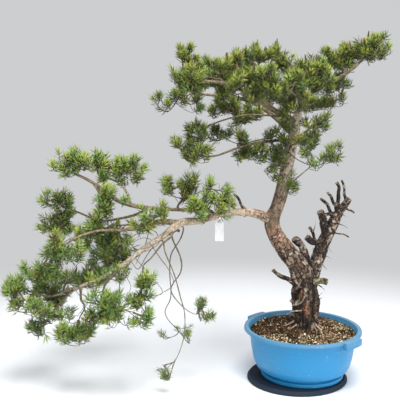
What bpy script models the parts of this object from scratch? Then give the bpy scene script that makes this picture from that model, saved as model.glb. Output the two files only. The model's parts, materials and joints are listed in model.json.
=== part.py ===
"""Scots pine bonsai, a leaning semi-cascade in a round plastic basin on a flat turntable.

The origin is the middle of the turntable's underside. +X is to the right as the tree is shown, +Y is
away from the viewer, and +Z is up. All sizes are in metres.

The tree is grown by a rule. Each limb is a tapering tube along a smooth line. Each mass of foliage has
lobes, which are the egg-shaped spaces that its shoots fill, and it grows one stem to them. Shoot tips
are spread through a lobe, each one as far as it can be from those before it, and each is joined by a
twig to the nearest wood of its mass. A shoot carries a tuft, a slim core that bundles of needles
stand out of. A twig that would touch a limb or another mass is left out.
"""

import math
import random

import bmesh
import bpy
from mathutils import Matrix, Vector
from mathutils.bvhtree import BVHTree

GAP = 0.0003  # clearance between pieces that touch
TIP_SINK = 0.002  # how deep a stem is rooted in the tip of its limb, before it is cut clear
CLEAR = 0.0006  # how much fatter a twig is taken to be when it looks for room

# Turntable and basin
DISC_RADIUS = 0.160
DISC_HEIGHT = 0.015
DISC_BEVEL = 0.007
ROUND_STEPS = 36  # flat sides of a turned piece
POT_CENTRE = Vector((0.015, 0, 0))
POT_RIM_RADIUS = 0.185
POT_HEIGHT = 0.156
POT_OVAL = 1.05  # the basin is longer across its handles than from front to back
POT_FOOT = DISC_HEIGHT + GAP
HANDLE_TURN = math.radians(-45)
HANDLE_HALF = math.radians(11)
HANDLE_REACH = 0.014  # how far a handle stands out past the rim
HANDLE_DROP = 0.025
SOIL_EDGE = 0.156  # height of the soil at the wall
SOIL_TOP = 0.1697  # height of the flat patch under the trunk
SOIL_RADIUS = 0.162
SOIL_PATCH = 0.066  # radius of that patch

# Shoots and twigs
NEEDLE_REACH = 0.034  # how far the needles stand out from a shoot
NEEDLE_LEAN = 0.012  # how far forward they lean
SHOOT = 0.030  # length of the shoot that has needles
INSET = 0.5  # how much of that reach the shoots' tips keep inside their lobe
TIERS = 2  # rows of needles along a shoot
CORE_RADIUS = 0.0060
TWIG_RADII = (0.0017, 0.0015)  # from its root to its shoot
JOINT_SPACING = 0.012
ROOT_SINK = 0.0005  # how far a twig's root lies past the heart of the wood that it leaves
TIP_TRIES = 16
ATTEMPTS = 80  # places that are tried for one shoot
CROSSINGS = 2  # how many faces of a new spray may cross its neighbours in the mass, at its first attempt
LIFT = 0.45  # how strongly shoots turn up to the light

BARK = ("bark", (0.27, 0.20, 0.15), 0.85)
YOUNG_BARK = ("young_bark", (0.42, 0.31, 0.21), 0.8)
NEEDLES = ("needles", (0.16, 0.27, 0.08), 0.55)
BLUE_PLASTIC = ("blue_plastic", (0.05, 0.33, 0.68), 0.4)
BLACK_PLASTIC = ("black_plastic", (0.03, 0.035, 0.045), 0.5)
GRIT = ("grit", (0.36, 0.28, 0.18), 0.95)
WHITE_PLASTIC = ("white_plastic", (0.9, 0.9, 0.9), 0.5)

# A limb is the line of its heart and the radii that go with it, from its root to its tip. A radius
# pair is a plain taper. "on" is the limb that it leaves, and None is for one that stands on the soil.
TRUNK_LINE = (
    (0.025, 0, 0.170), (0.024, 0, 0.205), (0.022, 0, 0.265), (0.012, -0.005, 0.330), (-0.012, -0.012, 0.383),
    (-0.045, -0.020, 0.425), (-0.080, -0.020, 0.480), (-0.088, -0.018, 0.520), (-0.073, -0.015, 0.560),
    (-0.058, -0.008, 0.610), (-0.044, 0, 0.680), (-0.030, 0.010, 0.740), (-0.017, 0.014, 0.805),
    (-0.009, 0.010, 0.865), (-0.004, 0.010, 0.910), (0.004, 0.016, 0.950),
)
TRUNK_RADII = (
    0.046, 0.038, 0.041, 0.037, 0.030, 0.029, 0.024, 0.0235, 0.0205, 0.0205, 0.019, 0.0180, 0.0155, 0.0125,
    0.010, 0.006,
)
LIMBS = {
    "trunk": dict(on=None, line=TRUNK_LINE, radii=TRUNK_RADII, sides=10, rings=27),
    "dead_trunk": dict(
        on="trunk",
        line=((0.030, 0.010, 0.290), (0.050, 0.024, 0.345), (0.075, 0.038, 0.420),
              (0.105, 0.045, 0.485), (0.130, 0.045, 0.535), (0.160, 0.040, 0.578)),
        radii=(0.026, 0.023, 0.021, 0.0185, 0.015, 0.0095), sides=9, rings=12,
    ),
    "left_bough": dict(
        on="trunk",
        line=((-0.085, -0.018, 0.518), (-0.140, -0.035, 0.543), (-0.185, -0.050, 0.550),
              (-0.220, -0.060, 0.550), (-0.255, -0.070, 0.544), (-0.310, -0.080, 0.530),
              (-0.370, -0.090, 0.524), (-0.420, -0.100, 0.487), (-0.475, -0.110, 0.453),
              (-0.535, -0.112, 0.405), (-0.595, -0.110, 0.366), (-0.665, -0.100, 0.333),
              (-0.705, -0.090, 0.310)),
        radii=(0.017, 0.0135, 0.0115, 0.011, 0.0105, 0.0105, 0.0125, 0.0095, 0.0088, 0.0075, 0.0065, 0.0055,
               0.0045),
        sides=7, rings=22,
    ),
    "left_tip_bough": dict(
        on="left_bough tip",
        line=((-0.705, -0.090, 0.310), (-0.728, -0.084, 0.284), (-0.754, -0.077, 0.255),
              (-0.772, -0.072, 0.230)),
        radii=(0.0042, 0.0028), sides=5, rings=6,
    ),
    "left_mid_bough": dict(
        on="left_bough",
        line=((-0.370, -0.090, 0.525), (-0.430, -0.072, 0.524), (-0.475, -0.050, 0.512),
              (-0.515, -0.030, 0.495), (-0.555, -0.015, 0.486)),
        radii=(0.0095, 0.0050), sides=6, rings=8,
    ),
    "left_fore_bough": dict(
        on="left_mid_bough tip",
        line=((-0.555, -0.015, 0.486), (-0.615, -0.045, 0.492), (-0.675, -0.070, 0.480),
              (-0.730, -0.088, 0.450), (-0.770, -0.090, 0.420), (-0.790, -0.080, 0.380)),
        radii=(0.0042, 0.0026), sides=5, rings=9,
    ),
    "left_upper_bough": dict(
        on="left_bough",
        line=((-0.262, -0.071, 0.544), (-0.290, -0.060, 0.560), (-0.340, -0.048, 0.556),
              (-0.405, -0.030, 0.555), (-0.480, 0.000, 0.555), (-0.530, 0.020, 0.561),
              (-0.575, 0.030, 0.576), (-0.615, 0.040, 0.605), (-0.660, 0.040, 0.635),
              (-0.710, 0.030, 0.660), (-0.740, 0.022, 0.672)),
        radii=(0.0048, 0.0050, 0.0052, 0.0056, 0.0075, 0.0072, 0.0070, 0.0062, 0.0050, 0.0040, 0.0034),
        sides=6, rings=18,
    ),
    "left_rise_bough": dict(
        on="left_upper_bough",
        line=((-0.527, 0.019, 0.560), (-0.540, 0.034, 0.596), (-0.562, 0.052, 0.622),
              (-0.595, 0.072, 0.635), (-0.625, 0.085, 0.645)),
        radii=(0.0046, 0.0030), sides=5, rings=7,
    ),
    "left_far_bough": dict(
        on="left_upper_bough",
        line=((-0.470, -0.004, 0.555), (-0.505, 0.035, 0.530), (-0.560, 0.075, 0.508),
              (-0.635, 0.098, 0.496), (-0.700, 0.102, 0.520), (-0.745, 0.092, 0.540)),
        radii=(0.0052, 0.0028), sides=5, rings=9,
    ),
    "crown_west_bough": dict(
        on="trunk",
        line=((-0.020, 0.010, 0.822), (-0.080, -0.028, 0.854), (-0.140, -0.070, 0.892),
              (-0.195, -0.100, 0.925), (-0.250, -0.125, 0.943), (-0.300, -0.138, 0.948)),
        radii=(0.0100, 0.0042), sides=6, rings=10,
    ),
    "crown_back_bough": dict(
        on="trunk",
        line=((-0.022, 0.014, 0.778), (-0.085, 0.055, 0.838), (-0.140, 0.088, 0.872),
              (-0.190, 0.110, 0.888), (-0.250, 0.130, 0.894), (-0.320, 0.142, 0.900)),
        radii=(0.0090, 0.0036), sides=6, rings=10,
    ),
    "crown_low_bough": dict(
        on="crown_west_bough",
        line=((-0.060, -0.014, 0.838), (-0.110, -0.012, 0.842), (-0.175, -0.018, 0.843),
              (-0.235, -0.028, 0.830), (-0.285, -0.034, 0.812)),
        radii=(0.0036, 0.0024), sides=5, rings=8,
    ),
    "mid_west_bough": dict(
        on="trunk",
        line=((-0.024, 0.012, 0.768), (-0.095, -0.030, 0.765), (-0.155, -0.050, 0.758),
              (-0.205, -0.062, 0.745), (-0.265, -0.080, 0.726), (-0.320, -0.092, 0.726)),
        radii=(0.0050, 0.0026), sides=5, rings=9,
    ),
    "crown_east_bough": dict(
        on="trunk",
        line=((-0.006, 0.010, 0.895), (0.030, -0.002, 0.912), (0.065, -0.012, 0.935),
              (0.110, -0.020, 0.957), (0.145, -0.028, 0.982), (0.172, -0.030, 1.008)),
        radii=(0.0080, 0.0042), sides=6, rings=9,
    ),
}

# Short dead stubs: the limb that each is fused to, its root, its tip and its two radii.
STUBS = (
    ("trunk", (-0.010, -0.002, 0.305), (-0.085, -0.030, 0.365), 0.0085, 0.0060),
    ("trunk", (0.030, -0.015, 0.325), (0.086, -0.030, 0.325), 0.0110, 0.0095),
    ("dead_trunk", (0.052, 0.020, 0.350), (-0.014, 0.006, 0.456), 0.0150, 0.0115),
    ("left_bough", (-0.165, -0.044, 0.550), (-0.210, -0.060, 0.608), 0.0050, 0.0042),
    ("dead_trunk", (0.152, 0.042, 0.566), (0.135, 0.050, 0.635), 0.0052, 0.0036),
    ("dead_trunk", (0.128, 0.044, 0.530), (0.124, 0.034, 0.585), 0.0085, 0.0060),
    ("dead_trunk", (0.124, 0.034, 0.580), (0.115, 0.030, 0.630), 0.0062, 0.0052),
    ("dead_trunk", (0.134, 0.045, 0.540), (0.085, 0.022, 0.600), 0.0062, 0.0042),
    ("dead_trunk", (0.118, 0.045, 0.515), (0.070, 0.060, 0.575), 0.0064, 0.0048),
    ("dead_trunk", (0.145, 0.042, 0.550), (0.176, 0.036, 0.531), 0.0042, 0.0030),
    ("dead_trunk", (0.092, 0.042, 0.458), (0.066, 0.022, 0.540), 0.0135, 0.0115),
    ("dead_trunk", (0.066, 0.024, 0.534), (0.112, 0.042, 0.522), 0.0062, 0.0062),
    ("dead_trunk", (0.074, 0.038, 0.418), (0.026, 0.020, 0.458), 0.0115, 0.0095),
    ("dead_trunk", (0.062, 0.036, 0.432), (0.038, 0.060, 0.482), 0.0060, 0.0050),
    ("dead_trunk", (0.100, 0.044, 0.475), (0.160, 0.030, 0.455), 0.0034, 0.0024),
)

# A mass is where its stem leaves a limb, a share of the limb's length with 1 for its tip, the line
# that the stem follows on its way, and its lobes: middle, half sizes, and number of large shoots.
MASSES = {
    "left_top_mass": dict(
        on="left_upper_bough", at=1.0,
        lobes=(((-0.710, 0.020, 0.692), (0.074, 0.06, 0.056), 5),),
    ),
    "left_crest_mass": dict(
        on="left_rise_bough", at=1.0,
        lobes=(((-0.628, 0.085, 0.682), (0.042, 0.06, 0.056), 4),
               ((-0.532, 0.080, 0.668), (0.057, 0.06, 0.060), 6)),
    ),
    "left_under_mass": dict(
        on="left_upper_bough", at=0.76,
        lobes=(((-0.608, -0.030, 0.592), (0.042, 0.05, 0.056), 5),),
    ),
    "left_far_mass": dict(
        on="left_far_bough", at=1.0,
        lobes=(((-0.770, 0.080, 0.572), (0.060, 0.05, 0.034), 4),
               ((-0.775, 0.110, 0.492), (0.065, 0.05, 0.042), 3)),
    ),
    "left_heart_mass": dict(
        on="left_mid_bough", at=0.80,
        lobes=(((-0.610, 0.030, 0.490), (0.085, 0.07, 0.078), 6),),
    ),
    "left_back_mass": dict(
        on="left_far_bough", at=0.45,
        lobes=(((-0.600, 0.150, 0.435), (0.078, 0.07, 0.090), 5),),
    ),
    "left_brow_mass": dict(
        on="left_fore_bough", at=1.0,
        lobes=(((-0.800, -0.080, 0.376), (0.067, 0.06, 0.048), 4),
               ((-0.730, -0.105, 0.445), (0.062, 0.05, 0.046), 2)),
    ),
    "left_reach_mass": dict(
        on="left_bough", at=0.985, via=((-0.770, -0.095, 0.297),),
        lobes=(((-0.875, -0.080, 0.322), (0.047, 0.06, 0.042), 5),
               ((-0.830, -0.130, 0.285), (0.055, 0.05, 0.032), 3)),
    ),
    "left_low_mass": dict(
        on="left_bough", at=0.94,
        lobes=(((-0.765, -0.010, 0.320), (0.080, 0.07, 0.056), 5),),
    ),
    "left_droop_mass": dict(
        on="left_tip_bough", at=1.0,
        lobes=(((-0.802, -0.066, 0.200), (0.052, 0.06, 0.044), 3),),
    ),
    "left_bottom_mass": dict(
        on="left_bough", at=0.935,
        via=((-0.668, -0.130, 0.295), (-0.655, -0.150, 0.280), (-0.672, -0.152, 0.245)),
        lobes=(((-0.680, -0.150, 0.200), (0.072, 0.06, 0.037), 5),),
    ),
    "left_belly_mass": dict(
        on="left_bough", at=0.80, via=((-0.595, -0.150, 0.345),),
        lobes=(((-0.585, -0.190, 0.295), (0.057, 0.06, 0.066), 6),
               ((-0.475, -0.210, 0.272), (0.040, 0.05, 0.036), 3)),
    ),
    "left_hang_mass": dict(
        on="left_bough", at=0.56,
        via=((-0.425, -0.120, 0.465), (-0.455, -0.140, 0.430), (-0.480, -0.150, 0.405)),
        lobes=(((-0.470, -0.170, 0.370), (0.036, 0.05, 0.036), 3),
               ((-0.497, -0.170, 0.315), (0.036, 0.05, 0.028), 3)),
    ),
    "left_ridge_mass": dict(
        on="left_bough", at=0.88,
        lobes=(((-0.655, 0.060, 0.352), (0.100, 0.08, 0.060), 5),),
    ),
    "bough_west_mass": dict(
        on="left_upper_bough", at=0.26,
        lobes=(((-0.345, -0.040, 0.625), (0.037, 0.04, 0.052), 4),
               ((-0.410, -0.010, 0.625), (0.028, 0.04, 0.037), 2)),
    ),
    "bough_east_mass": dict(
        on="left_bough", at=0.375,
        lobes=(((-0.310, -0.110, 0.596), (0.042, 0.05, 0.056), 5),
               ((-0.278, -0.100, 0.628), (0.027, 0.04, 0.037), 1),
               ((-0.246, -0.105, 0.590), (0.037, 0.04, 0.052), 2)),
    ),
    "bough_knot_mass": dict(
        on="left_mid_bough", at=0.45,
        lobes=(((-0.460, -0.095, 0.545), (0.060, 0.06, 0.046), 4),),
    ),
    "hanging_spray_1": dict(
        on="left_bough", at=0.525,
        via=((-0.385, -0.090, 0.500), (-0.395, -0.090, 0.480), (-0.370, -0.080, 0.415),
             (-0.370, -0.080, 0.370), (-0.400, -0.080, 0.315), (-0.365, -0.090, 0.265),
             (-0.325, -0.090, 0.240)),
        lobes=(((-0.300, -0.090, 0.262), (0.030, 0.04, 0.046), 3),),
    ),
    "hanging_spray_2": dict(
        on="left_bough", at=0.495,
        via=((-0.362, -0.060, 0.495), (-0.372, -0.050, 0.465), (-0.400, -0.035, 0.415),
             (-0.405, -0.035, 0.360), (-0.402, -0.040, 0.280), (-0.420, -0.045, 0.232),
             (-0.395, -0.045, 0.190)),
        lobes=(((-0.358, -0.050, 0.178), (0.032, 0.03, 0.028), 2),),
    ),
    "hanging_spray_3": dict(
        on="left_bough", at=0.60,
        via=((-0.415, -0.120, 0.440), (-0.387, -0.140, 0.375), (-0.370, -0.142, 0.310),
             (-0.357, -0.142, 0.255), (-0.360, -0.142, 0.185), (-0.380, -0.136, 0.120)),
        lobes=(((-0.415, -0.130, 0.076), (0.030, 0.04, 0.032), 2),),
    ),
    "crown_west_tip_mass": dict(
        on="crown_back_bough", at=1.0,
        lobes=(((-0.398, 0.150, 0.882), (0.072, 0.06, 0.042), 7),),
    ),
    "crown_west_mass": dict(
        on="crown_west_bough", at=1.0,
        lobes=(((-0.365, -0.140, 0.945), (0.074, 0.07, 0.052), 5),
               ((-0.365, -0.095, 1.022), (0.037, 0.04, 0.044), 1)),
    ),
    "crown_mid_west_mass": dict(
        on="crown_west_bough", at=0.78,
        lobes=(((-0.265, -0.060, 0.975), (0.072, 0.07, 0.066), 8),),
    ),
    "crown_top_mass": dict(
        on="crown_back_bough", at=0.40,
        lobes=(((-0.180, 0.070, 1.010), (0.064, 0.07, 0.066), 8),),
    ),
    "crown_front_mass": dict(
        on="crown_west_bough", at=0.45,
        lobes=(((-0.160, -0.180, 0.935), (0.077, 0.07, 0.056), 8),),
    ),
    "crown_peak_mass": dict(on="trunk", at=1.0, lobes=(((-0.080, 0.050, 1.013), (0.056, 0.07, 0.058), 6),)),
    "crown_inner_mass": dict(
        on="trunk", at=0.90,
        lobes=(((-0.045, -0.120, 0.955), (0.060, 0.06, 0.056), 6),),
    ),
    "crown_east_mass": dict(
        on="crown_east_bough", at=0.36,
        lobes=(((0.030, -0.055, 0.965), (0.064, 0.06, 0.060), 6),),
    ),
    "crown_back_mass": dict(
        on="trunk", at=0.93,
        lobes=(((-0.035, 0.160, 0.945), (0.077, 0.07, 0.066), 6),),
    ),
    "crown_ridge_mass": dict(
        on="crown_east_bough", at=0.70,
        lobes=(((0.092, 0.020, 1.010), (0.060, 0.06, 0.050), 6),),
    ),
    "crown_east_tip_mass": dict(
        on="crown_east_bough", at=1.0,
        lobes=(((0.202, -0.030, 1.048), (0.062, 0.06, 0.052), 7),),
    ),
    "crown_east_low_mass": dict(
        on="trunk", at=0.865,
        lobes=(((0.078, 0.090, 0.892), (0.067, 0.06, 0.038), 5),
               ((0.125, 0.050, 0.940), (0.037, 0.04, 0.028), 2)),
    ),
    "crown_under_mass": dict(
        on="crown_back_bough", at=0.58,
        lobes=(((-0.235, 0.060, 0.862), (0.065, 0.06, 0.046), 6),),
    ),
    "mid_west_mass": dict(
        on="mid_west_bough", at=1.0,
        lobes=(((-0.345, -0.100, 0.736), (0.057, 0.06, 0.048), 6),),
    ),
    "mid_upper_mass": dict(
        on="crown_low_bough", at=1.0,
        lobes=(((-0.330, -0.040, 0.803), (0.040, 0.05, 0.042), 4),),
    ),
    "mid_back_mass": dict(
        on="trunk", at=0.715, via=((-0.110, 0.060, 0.760), (-0.190, 0.090, 0.745)),
        lobes=(((-0.262, 0.110, 0.780), (0.052, 0.05, 0.038), 4),),
    ),
    "mid_inner_mass": dict(
        on="mid_west_bough", at=0.55,
        lobes=(((-0.180, -0.030, 0.775), (0.066, 0.06, 0.052), 5),),
    ),
    "trunk_west_mass": dict(
        on="trunk", at=0.665,
        lobes=(((-0.082, -0.045, 0.728), (0.036, 0.05, 0.058), 4),),
    ),
    "trunk_front_mass": dict(
        on="trunk", at=0.80,
        lobes=(((-0.045, -0.090, 0.850), (0.040, 0.05, 0.044), 4),),
    ),
    "east_mid_mass": dict(
        on="trunk", at=0.755,
        lobes=(((0.032, -0.090, 0.828), (0.040, 0.05, 0.036), 3),
               ((0.008, -0.110, 0.778), (0.040, 0.04, 0.036), 3)),
    ),
    "east_low_mass": dict(
        on="trunk", at=0.575,
        lobes=(((-0.025, -0.070, 0.655), (0.037, 0.04, 0.040), 3),
               ((0.066, -0.130, 0.742), (0.042, 0.05, 0.040), 4)),
    ),
}
STEM_BASE = 0.0034  # a mass's stem where it leaves its limb
STEM_TIP = 0.0022

LABEL_AT = 0.333  # share of the left bough's length where the label hangs
LABEL_WIDTH = 0.026
LABEL_LENGTH = 0.068
LABEL_THICK = 0.0008
LABEL_LOOP = 0.005  # width of the strap round the bough


def clear_scene():
    for obj in list(bpy.data.objects):
        bpy.data.objects.remove(obj)


def material(finish):
    name, colour, roughness = finish
    made = bpy.data.materials.get(name) or bpy.data.materials.new(name)
    made.use_nodes = True
    shader = made.node_tree.nodes["Principled BSDF"]
    shader.inputs["Base Color"].default_value = (*colour, 1)
    shader.inputs["Roughness"].default_value = roughness
    shader.inputs["Metallic"].default_value = 0
    return made


def new_object(name, bm, finish, smooth=False):
    """The bmesh as a named object in the scene."""
    mesh = bpy.data.meshes.new(name)
    bm.to_mesh(mesh)
    bm.free()
    mesh.materials.append(material(finish))
    if smooth:
        mesh.shade_smooth()
        mesh.set_sharp_from_angle(angle=math.radians(40))
    obj = bpy.data.objects.new(name, mesh)
    bpy.context.scene.collection.objects.link(obj)
    return obj


def apply_modifiers(obj):
    with bpy.context.temp_override(object=obj, active_object=obj, selected_objects=[obj]):
        for modifier in list(obj.modifiers):
            bpy.ops.object.modifier_apply(modifier=modifier.name)


def fuse(obj, others, solver="EXACT"):
    """Joins the others to obj by one Boolean union, and removes them."""
    group = bpy.data.collections.new("joined")
    bpy.context.scene.collection.children.link(group)
    for other in others:
        bpy.context.scene.collection.objects.unlink(other)
        group.objects.link(other)
    union = obj.modifiers.new("union", "BOOLEAN")
    union.operation = "UNION"
    union.solver = solver
    union.operand_type = "COLLECTION"
    union.collection = group
    apply_modifiers(obj)
    for other in others:
        bpy.data.objects.remove(other)
    bpy.data.collections.remove(group)


def keep_outer_shell(obj):
    """Fills any hollow that fusing sealed, and drops loose scraps: only the largest shell stays."""
    bm = bmesh.new()
    bm.from_mesh(obj.data)
    unseen, shells = set(bm.faces), []
    while unseen:
        shell, front = [], [unseen.pop()]
        while front:
            face = front.pop()
            shell.append(face)
            for edge in face.edges:
                for other in edge.link_faces:
                    if other in unseen:
                        unseen.remove(other)
                        front.append(other)
        shells.append(shell)
    shells.sort(key=shell_volume)
    for shell in shells[:-1]:
        bmesh.ops.delete(bm, geom=shell, context="FACES")
    bm.to_mesh(obj.data)
    bm.free()


def shell_volume(shell):
    volume = 0.0
    for face in shell:
        corners = [v.co for v in face.verts]
        for b, c in zip(corners[1:], corners[2:]):
            volume += corners[0].dot(b.cross(c)) / 6
    return volume


def cut(obj, cutter):
    """Takes the cutter's shape out of obj, and removes the cutter."""
    difference = obj.modifiers.new("cut", "BOOLEAN")
    difference.operation = "DIFFERENCE"
    difference.object = cutter
    apply_modifiers(obj)
    bpy.data.objects.remove(cutter)


def spline_point(points, t):
    """The point, or number, at share t of a smooth line through the points."""
    span = t * (len(points) - 1)
    i = min(int(span), len(points) - 2)
    u = span - i
    a, b = points[i], points[i + 1]
    before = points[i - 1] if i else a + (a - b)
    after = points[i + 2] if i + 2 < len(points) else b + (b - a)
    return (
        a * (1 - 3 * u * u + 2 * u**3) + b * (3 * u * u - 2 * u**3)
        + (b - before) * 0.5 * (u - 2 * u * u + u**3) + (after - a) * 0.5 * (u**3 - u * u)
    )


def smooth_line(points, count):
    points = [Vector(p) for p in points]
    return [spline_point(points, k / (count - 1)) for k in range(count)]


def taper(radii, count):
    """Radii along a limb, read between those given."""
    if len(radii) == 2:
        return [radii[0] + (radii[1] - radii[0]) * k / (count - 1) for k in range(count)]
    return [spline_point(radii, k / (count - 1)) for k in range(count)]


def directions(line):
    """The way that the line runs at each of its points."""
    found = []
    for k in range(len(line)):
        ahead, behind = line[min(k + 1, len(line) - 1)], line[max(k - 1, 0)]
        found.append((ahead - behind).normalized())
    return found


def side_ways(line):
    """Two directions across the line at each point, carried along it without twisting."""
    ways = directions(line)
    across = ways[0].orthogonal().normalized()
    frames = []
    for way in ways:
        across = (across - way * across.dot(way)).normalized()
        frames.append((across.copy(), way.cross(across)))
    return frames


def add_tube(bm, line, radii, sides, swell=None):
    """A closed tube along the line. swell(share of the length, angle) widens it."""
    rings = []
    for k, (centre, (across, up)) in enumerate(zip(line, side_ways(line))):
        ring = []
        for j in range(sides):
            angle = math.tau * j / sides
            grown = radii[k] * (swell(k / (len(line) - 1), angle) if swell else 1)
            ring.append(bm.verts.new(centre + (across * math.cos(angle) + up * math.sin(angle)) * grown))
        rings.append(ring)
    for low, high in zip(rings, rings[1:]):
        for j in range(sides):
            bm.faces.new((low[j], low[(j + 1) % sides], high[(j + 1) % sides], high[j]))
    bm.faces.new(rings[0][::-1])
    bm.faces.new(rings[-1])


def tube_object(name, line, radii, sides, finish, swell=None):
    bm = bmesh.new()
    add_tube(bm, line, radii, sides, swell)
    bmesh.ops.triangulate(bm, faces=bm.faces[:])
    return new_object(name, bm, finish, smooth=True)


def limb_line(name):
    limb = LIMBS[name]
    return smooth_line(limb["line"], limb["rings"]), taper(limb["radii"], limb["rings"])


def root_flare(share, angle):
    """Surface roots widen the foot of the trunk into ridges, and fade out above it."""
    foot = max(0.0, 1 - share / 0.09)
    return 1 + foot * (0.10 + 0.10 * math.cos(5 * angle))


def cut_clear(obj, name):
    """Cuts obj 0.3 mm clear of a limb that it is rooted in, on its sides and past its tip."""
    line, radii = limb_line(name)
    line[-1] = line[-1] + (line[-1] - line[-2]).normalized() * GAP
    cut(obj, tube_object("cutter", line, [r + GAP for r in radii], LIMBS[name]["sides"], BARK))


def make_limb(name):
    """A limb with its dead stubs fused on, cut clear of the limb that it leaves."""
    limb = LIMBS[name]
    line, radii = limb_line(name)
    at_tip = limb["on"] and limb["on"].endswith(" tip")
    if at_tip:
        line[0] = line[0] - (line[1] - line[0]).normalized() * TIP_SINK
    swell = root_flare if limb["on"] is None else None
    finish = BARK if name in ("trunk", "dead_trunk") else YOUNG_BARK
    obj = tube_object(name, line, radii, limb["sides"], finish, swell)
    stubs = []
    for number, (owner, root, tip, thick, thin) in enumerate(STUBS):
        if owner == name:
            stubs.append(tube_object(f"stub_{number}", smooth_line((root, tip), 2), (thick, thin), 5, BARK))
    if stubs:
        fuse(obj, stubs)
    if limb["on"] is None:
        for corner in obj.data.vertices:
            if corner.co.z < line[0].z + radii[0] * 0.2:
                corner.co.z = line[0].z
    else:
        cut_clear(obj, limb["on"].removesuffix(" tip"))
        keep_outer_shell(obj)
    return obj


def turned(name, profile, finish, centre, oval=1.0):
    """A closed profile of (radius, height) turned round the vertical, and made a little oval."""
    bm = bmesh.new()
    rings = []
    for radius, height in profile:
        if radius == 0:
            rings.append([bm.verts.new((0, 0, height))])
            continue
        ring = []
        for j in range(ROUND_STEPS):
            angle = math.tau * j / ROUND_STEPS
            ring.append(bm.verts.new((radius * math.cos(angle), radius * math.sin(angle), height)))
        rings.append(ring)
    for low, high in zip(rings, rings[1:]):
        for j in range(ROUND_STEPS):
            k = j + 1
            corners = [low[j % len(low)], low[k % len(low)], high[k % len(high)], high[j % len(high)]]
            distinct = [v for i, v in enumerate(corners) if v not in corners[:i]]
            bm.faces.new(distinct)
    stretch = Matrix.Diagonal((math.sqrt(oval), 1 / math.sqrt(oval), 1, 1))
    place = Matrix.Translation(centre) @ Matrix.Rotation(HANDLE_TURN, 4, "Z") @ stretch
    bm.transform(place)
    bmesh.ops.triangulate(bm, faces=bm.faces[:])
    bmesh.ops.recalc_face_normals(bm, faces=bm.faces[:])
    return new_object(name, bm, finish, smooth=True)


def make_turntable():
    r, h, b = DISC_RADIUS, DISC_HEIGHT, DISC_BEVEL
    profile = ((0, 0), (r - 0.003, 0), (r, 0.003), (r, 0.006), (r - b, h), (0, h))
    return turned("turntable", profile, BLACK_PLASTIC, Vector((0, 0, 0)))


def inside_profile(inset=0.0):
    """The basin's inside from the middle of its floor up, kept this far in from its wall."""
    return [
        (0, 0.004 + inset), (0.1255 - inset, 0.004 + inset), (0.1280 - inset, 0.0225 + inset),
        (0.1360 - inset, 0.0260 + inset), (0.1405 - inset, 0.0325 + inset),
        (SOIL_RADIUS + 0.0005 - inset, 0.140),
    ]


def pot_profile():
    """The basin's wall from the middle of its underside, up outside, over the rolled rim and down inside."""
    top, rim = POT_HEIGHT, POT_RIM_RADIUS
    wall = (SOIL_RADIUS + 0.0035, 0.139)
    foot = [(0, 0), (0.128, 0), (0.131, 0.019), (0.139, 0.022), (0.1435, 0.031), wall]
    skirt = [(0.1675, 0.151), (rim - 0.006, 0.151), (rim - 0.0035, 0.138), (rim, 0.138)]
    roll = [(rim, 0.147), (rim - 0.003, 0.154), (rim - 0.009, top), (rim - 0.015, 0.1545), (0.1655, 0.149)]
    return foot + skirt + roll + inside_profile()[::-1]


def arc_block(name, inner, outer, half, low, high, finish, steps=8):
    """A block that follows the rim, between two radii and two heights, on both sides of +X."""
    bm = bmesh.new()
    rings = []
    for k in range(steps + 1):
        angle = half * (2 * k / steps - 1)
        way = Vector((math.cos(angle), math.sin(angle), 0))
        corners = ((inner, low), (outer, low), (outer, high), (inner, high))
        rings.append([bm.verts.new(way * radius + Vector((0, 0, height))) for radius, height in corners])
    for here, there in zip(rings, rings[1:]):
        for j in range(4):
            bm.faces.new((here[j], here[(j + 1) % 4], there[(j + 1) % 4], there[j]))
    bm.faces.new(rings[0][::-1])
    bm.faces.new(rings[-1])
    bmesh.ops.recalc_face_normals(bm, faces=bm.faces[:])
    return new_object(name, bm, finish)


def make_pot():
    """The basin, its rolled rim, and two grips with a finger pocket under each."""
    centre = POT_CENTRE + Vector((0, 0, POT_FOOT))
    pot = turned("pot", pot_profile(), BLUE_PLASTIC, centre, oval=POT_OVAL)
    rim = POT_RIM_RADIUS * math.sqrt(POT_OVAL)
    for turn in (0, math.pi):
        place = Matrix.Translation(centre) @ Matrix.Rotation(HANDLE_TURN + turn, 4, "Z")
        top = POT_HEIGHT - 0.004
        low = POT_HEIGHT - 0.004 - HANDLE_DROP
        grip = arc_block("grip", rim - 0.007, rim + HANDLE_REACH, HANDLE_HALF, low, top, BLUE_PLASTIC)
        grip.data.transform(place)
        fuse(pot, [grip])
        half = HANDLE_HALF - math.radians(1.2)
        outer = rim + HANDLE_REACH - 0.0035
        pocket = arc_block("pocket", rim + 0.0005, outer, half, low - 0.01, top - 0.004, BLUE_PLASTIC)
        pocket.data.transform(place)
        cut(pot, pocket)
    return pot


def make_soil():
    """The soil fills the basin and rises to a low flat mound under the trunk."""
    edge, top = SOIL_EDGE - POT_FOOT, SOIL_TOP - POT_FOOT
    profile = [*inside_profile(0.0004), (SOIL_RADIUS, edge + 0.001)]
    for share in (0.25, 0.5, 0.75):
        rise = 0.5 - 0.5 * math.cos(math.pi * share)
        profile.append((SOIL_RADIUS + (SOIL_PATCH - SOIL_RADIUS) * share, edge + (top - edge) * rise))
    profile += [(SOIL_PATCH, top), (0, top)]
    return turned("soil", profile, GRIT, POT_CENTRE + Vector((0, 0, POT_FOOT)), oval=POT_OVAL)


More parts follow.
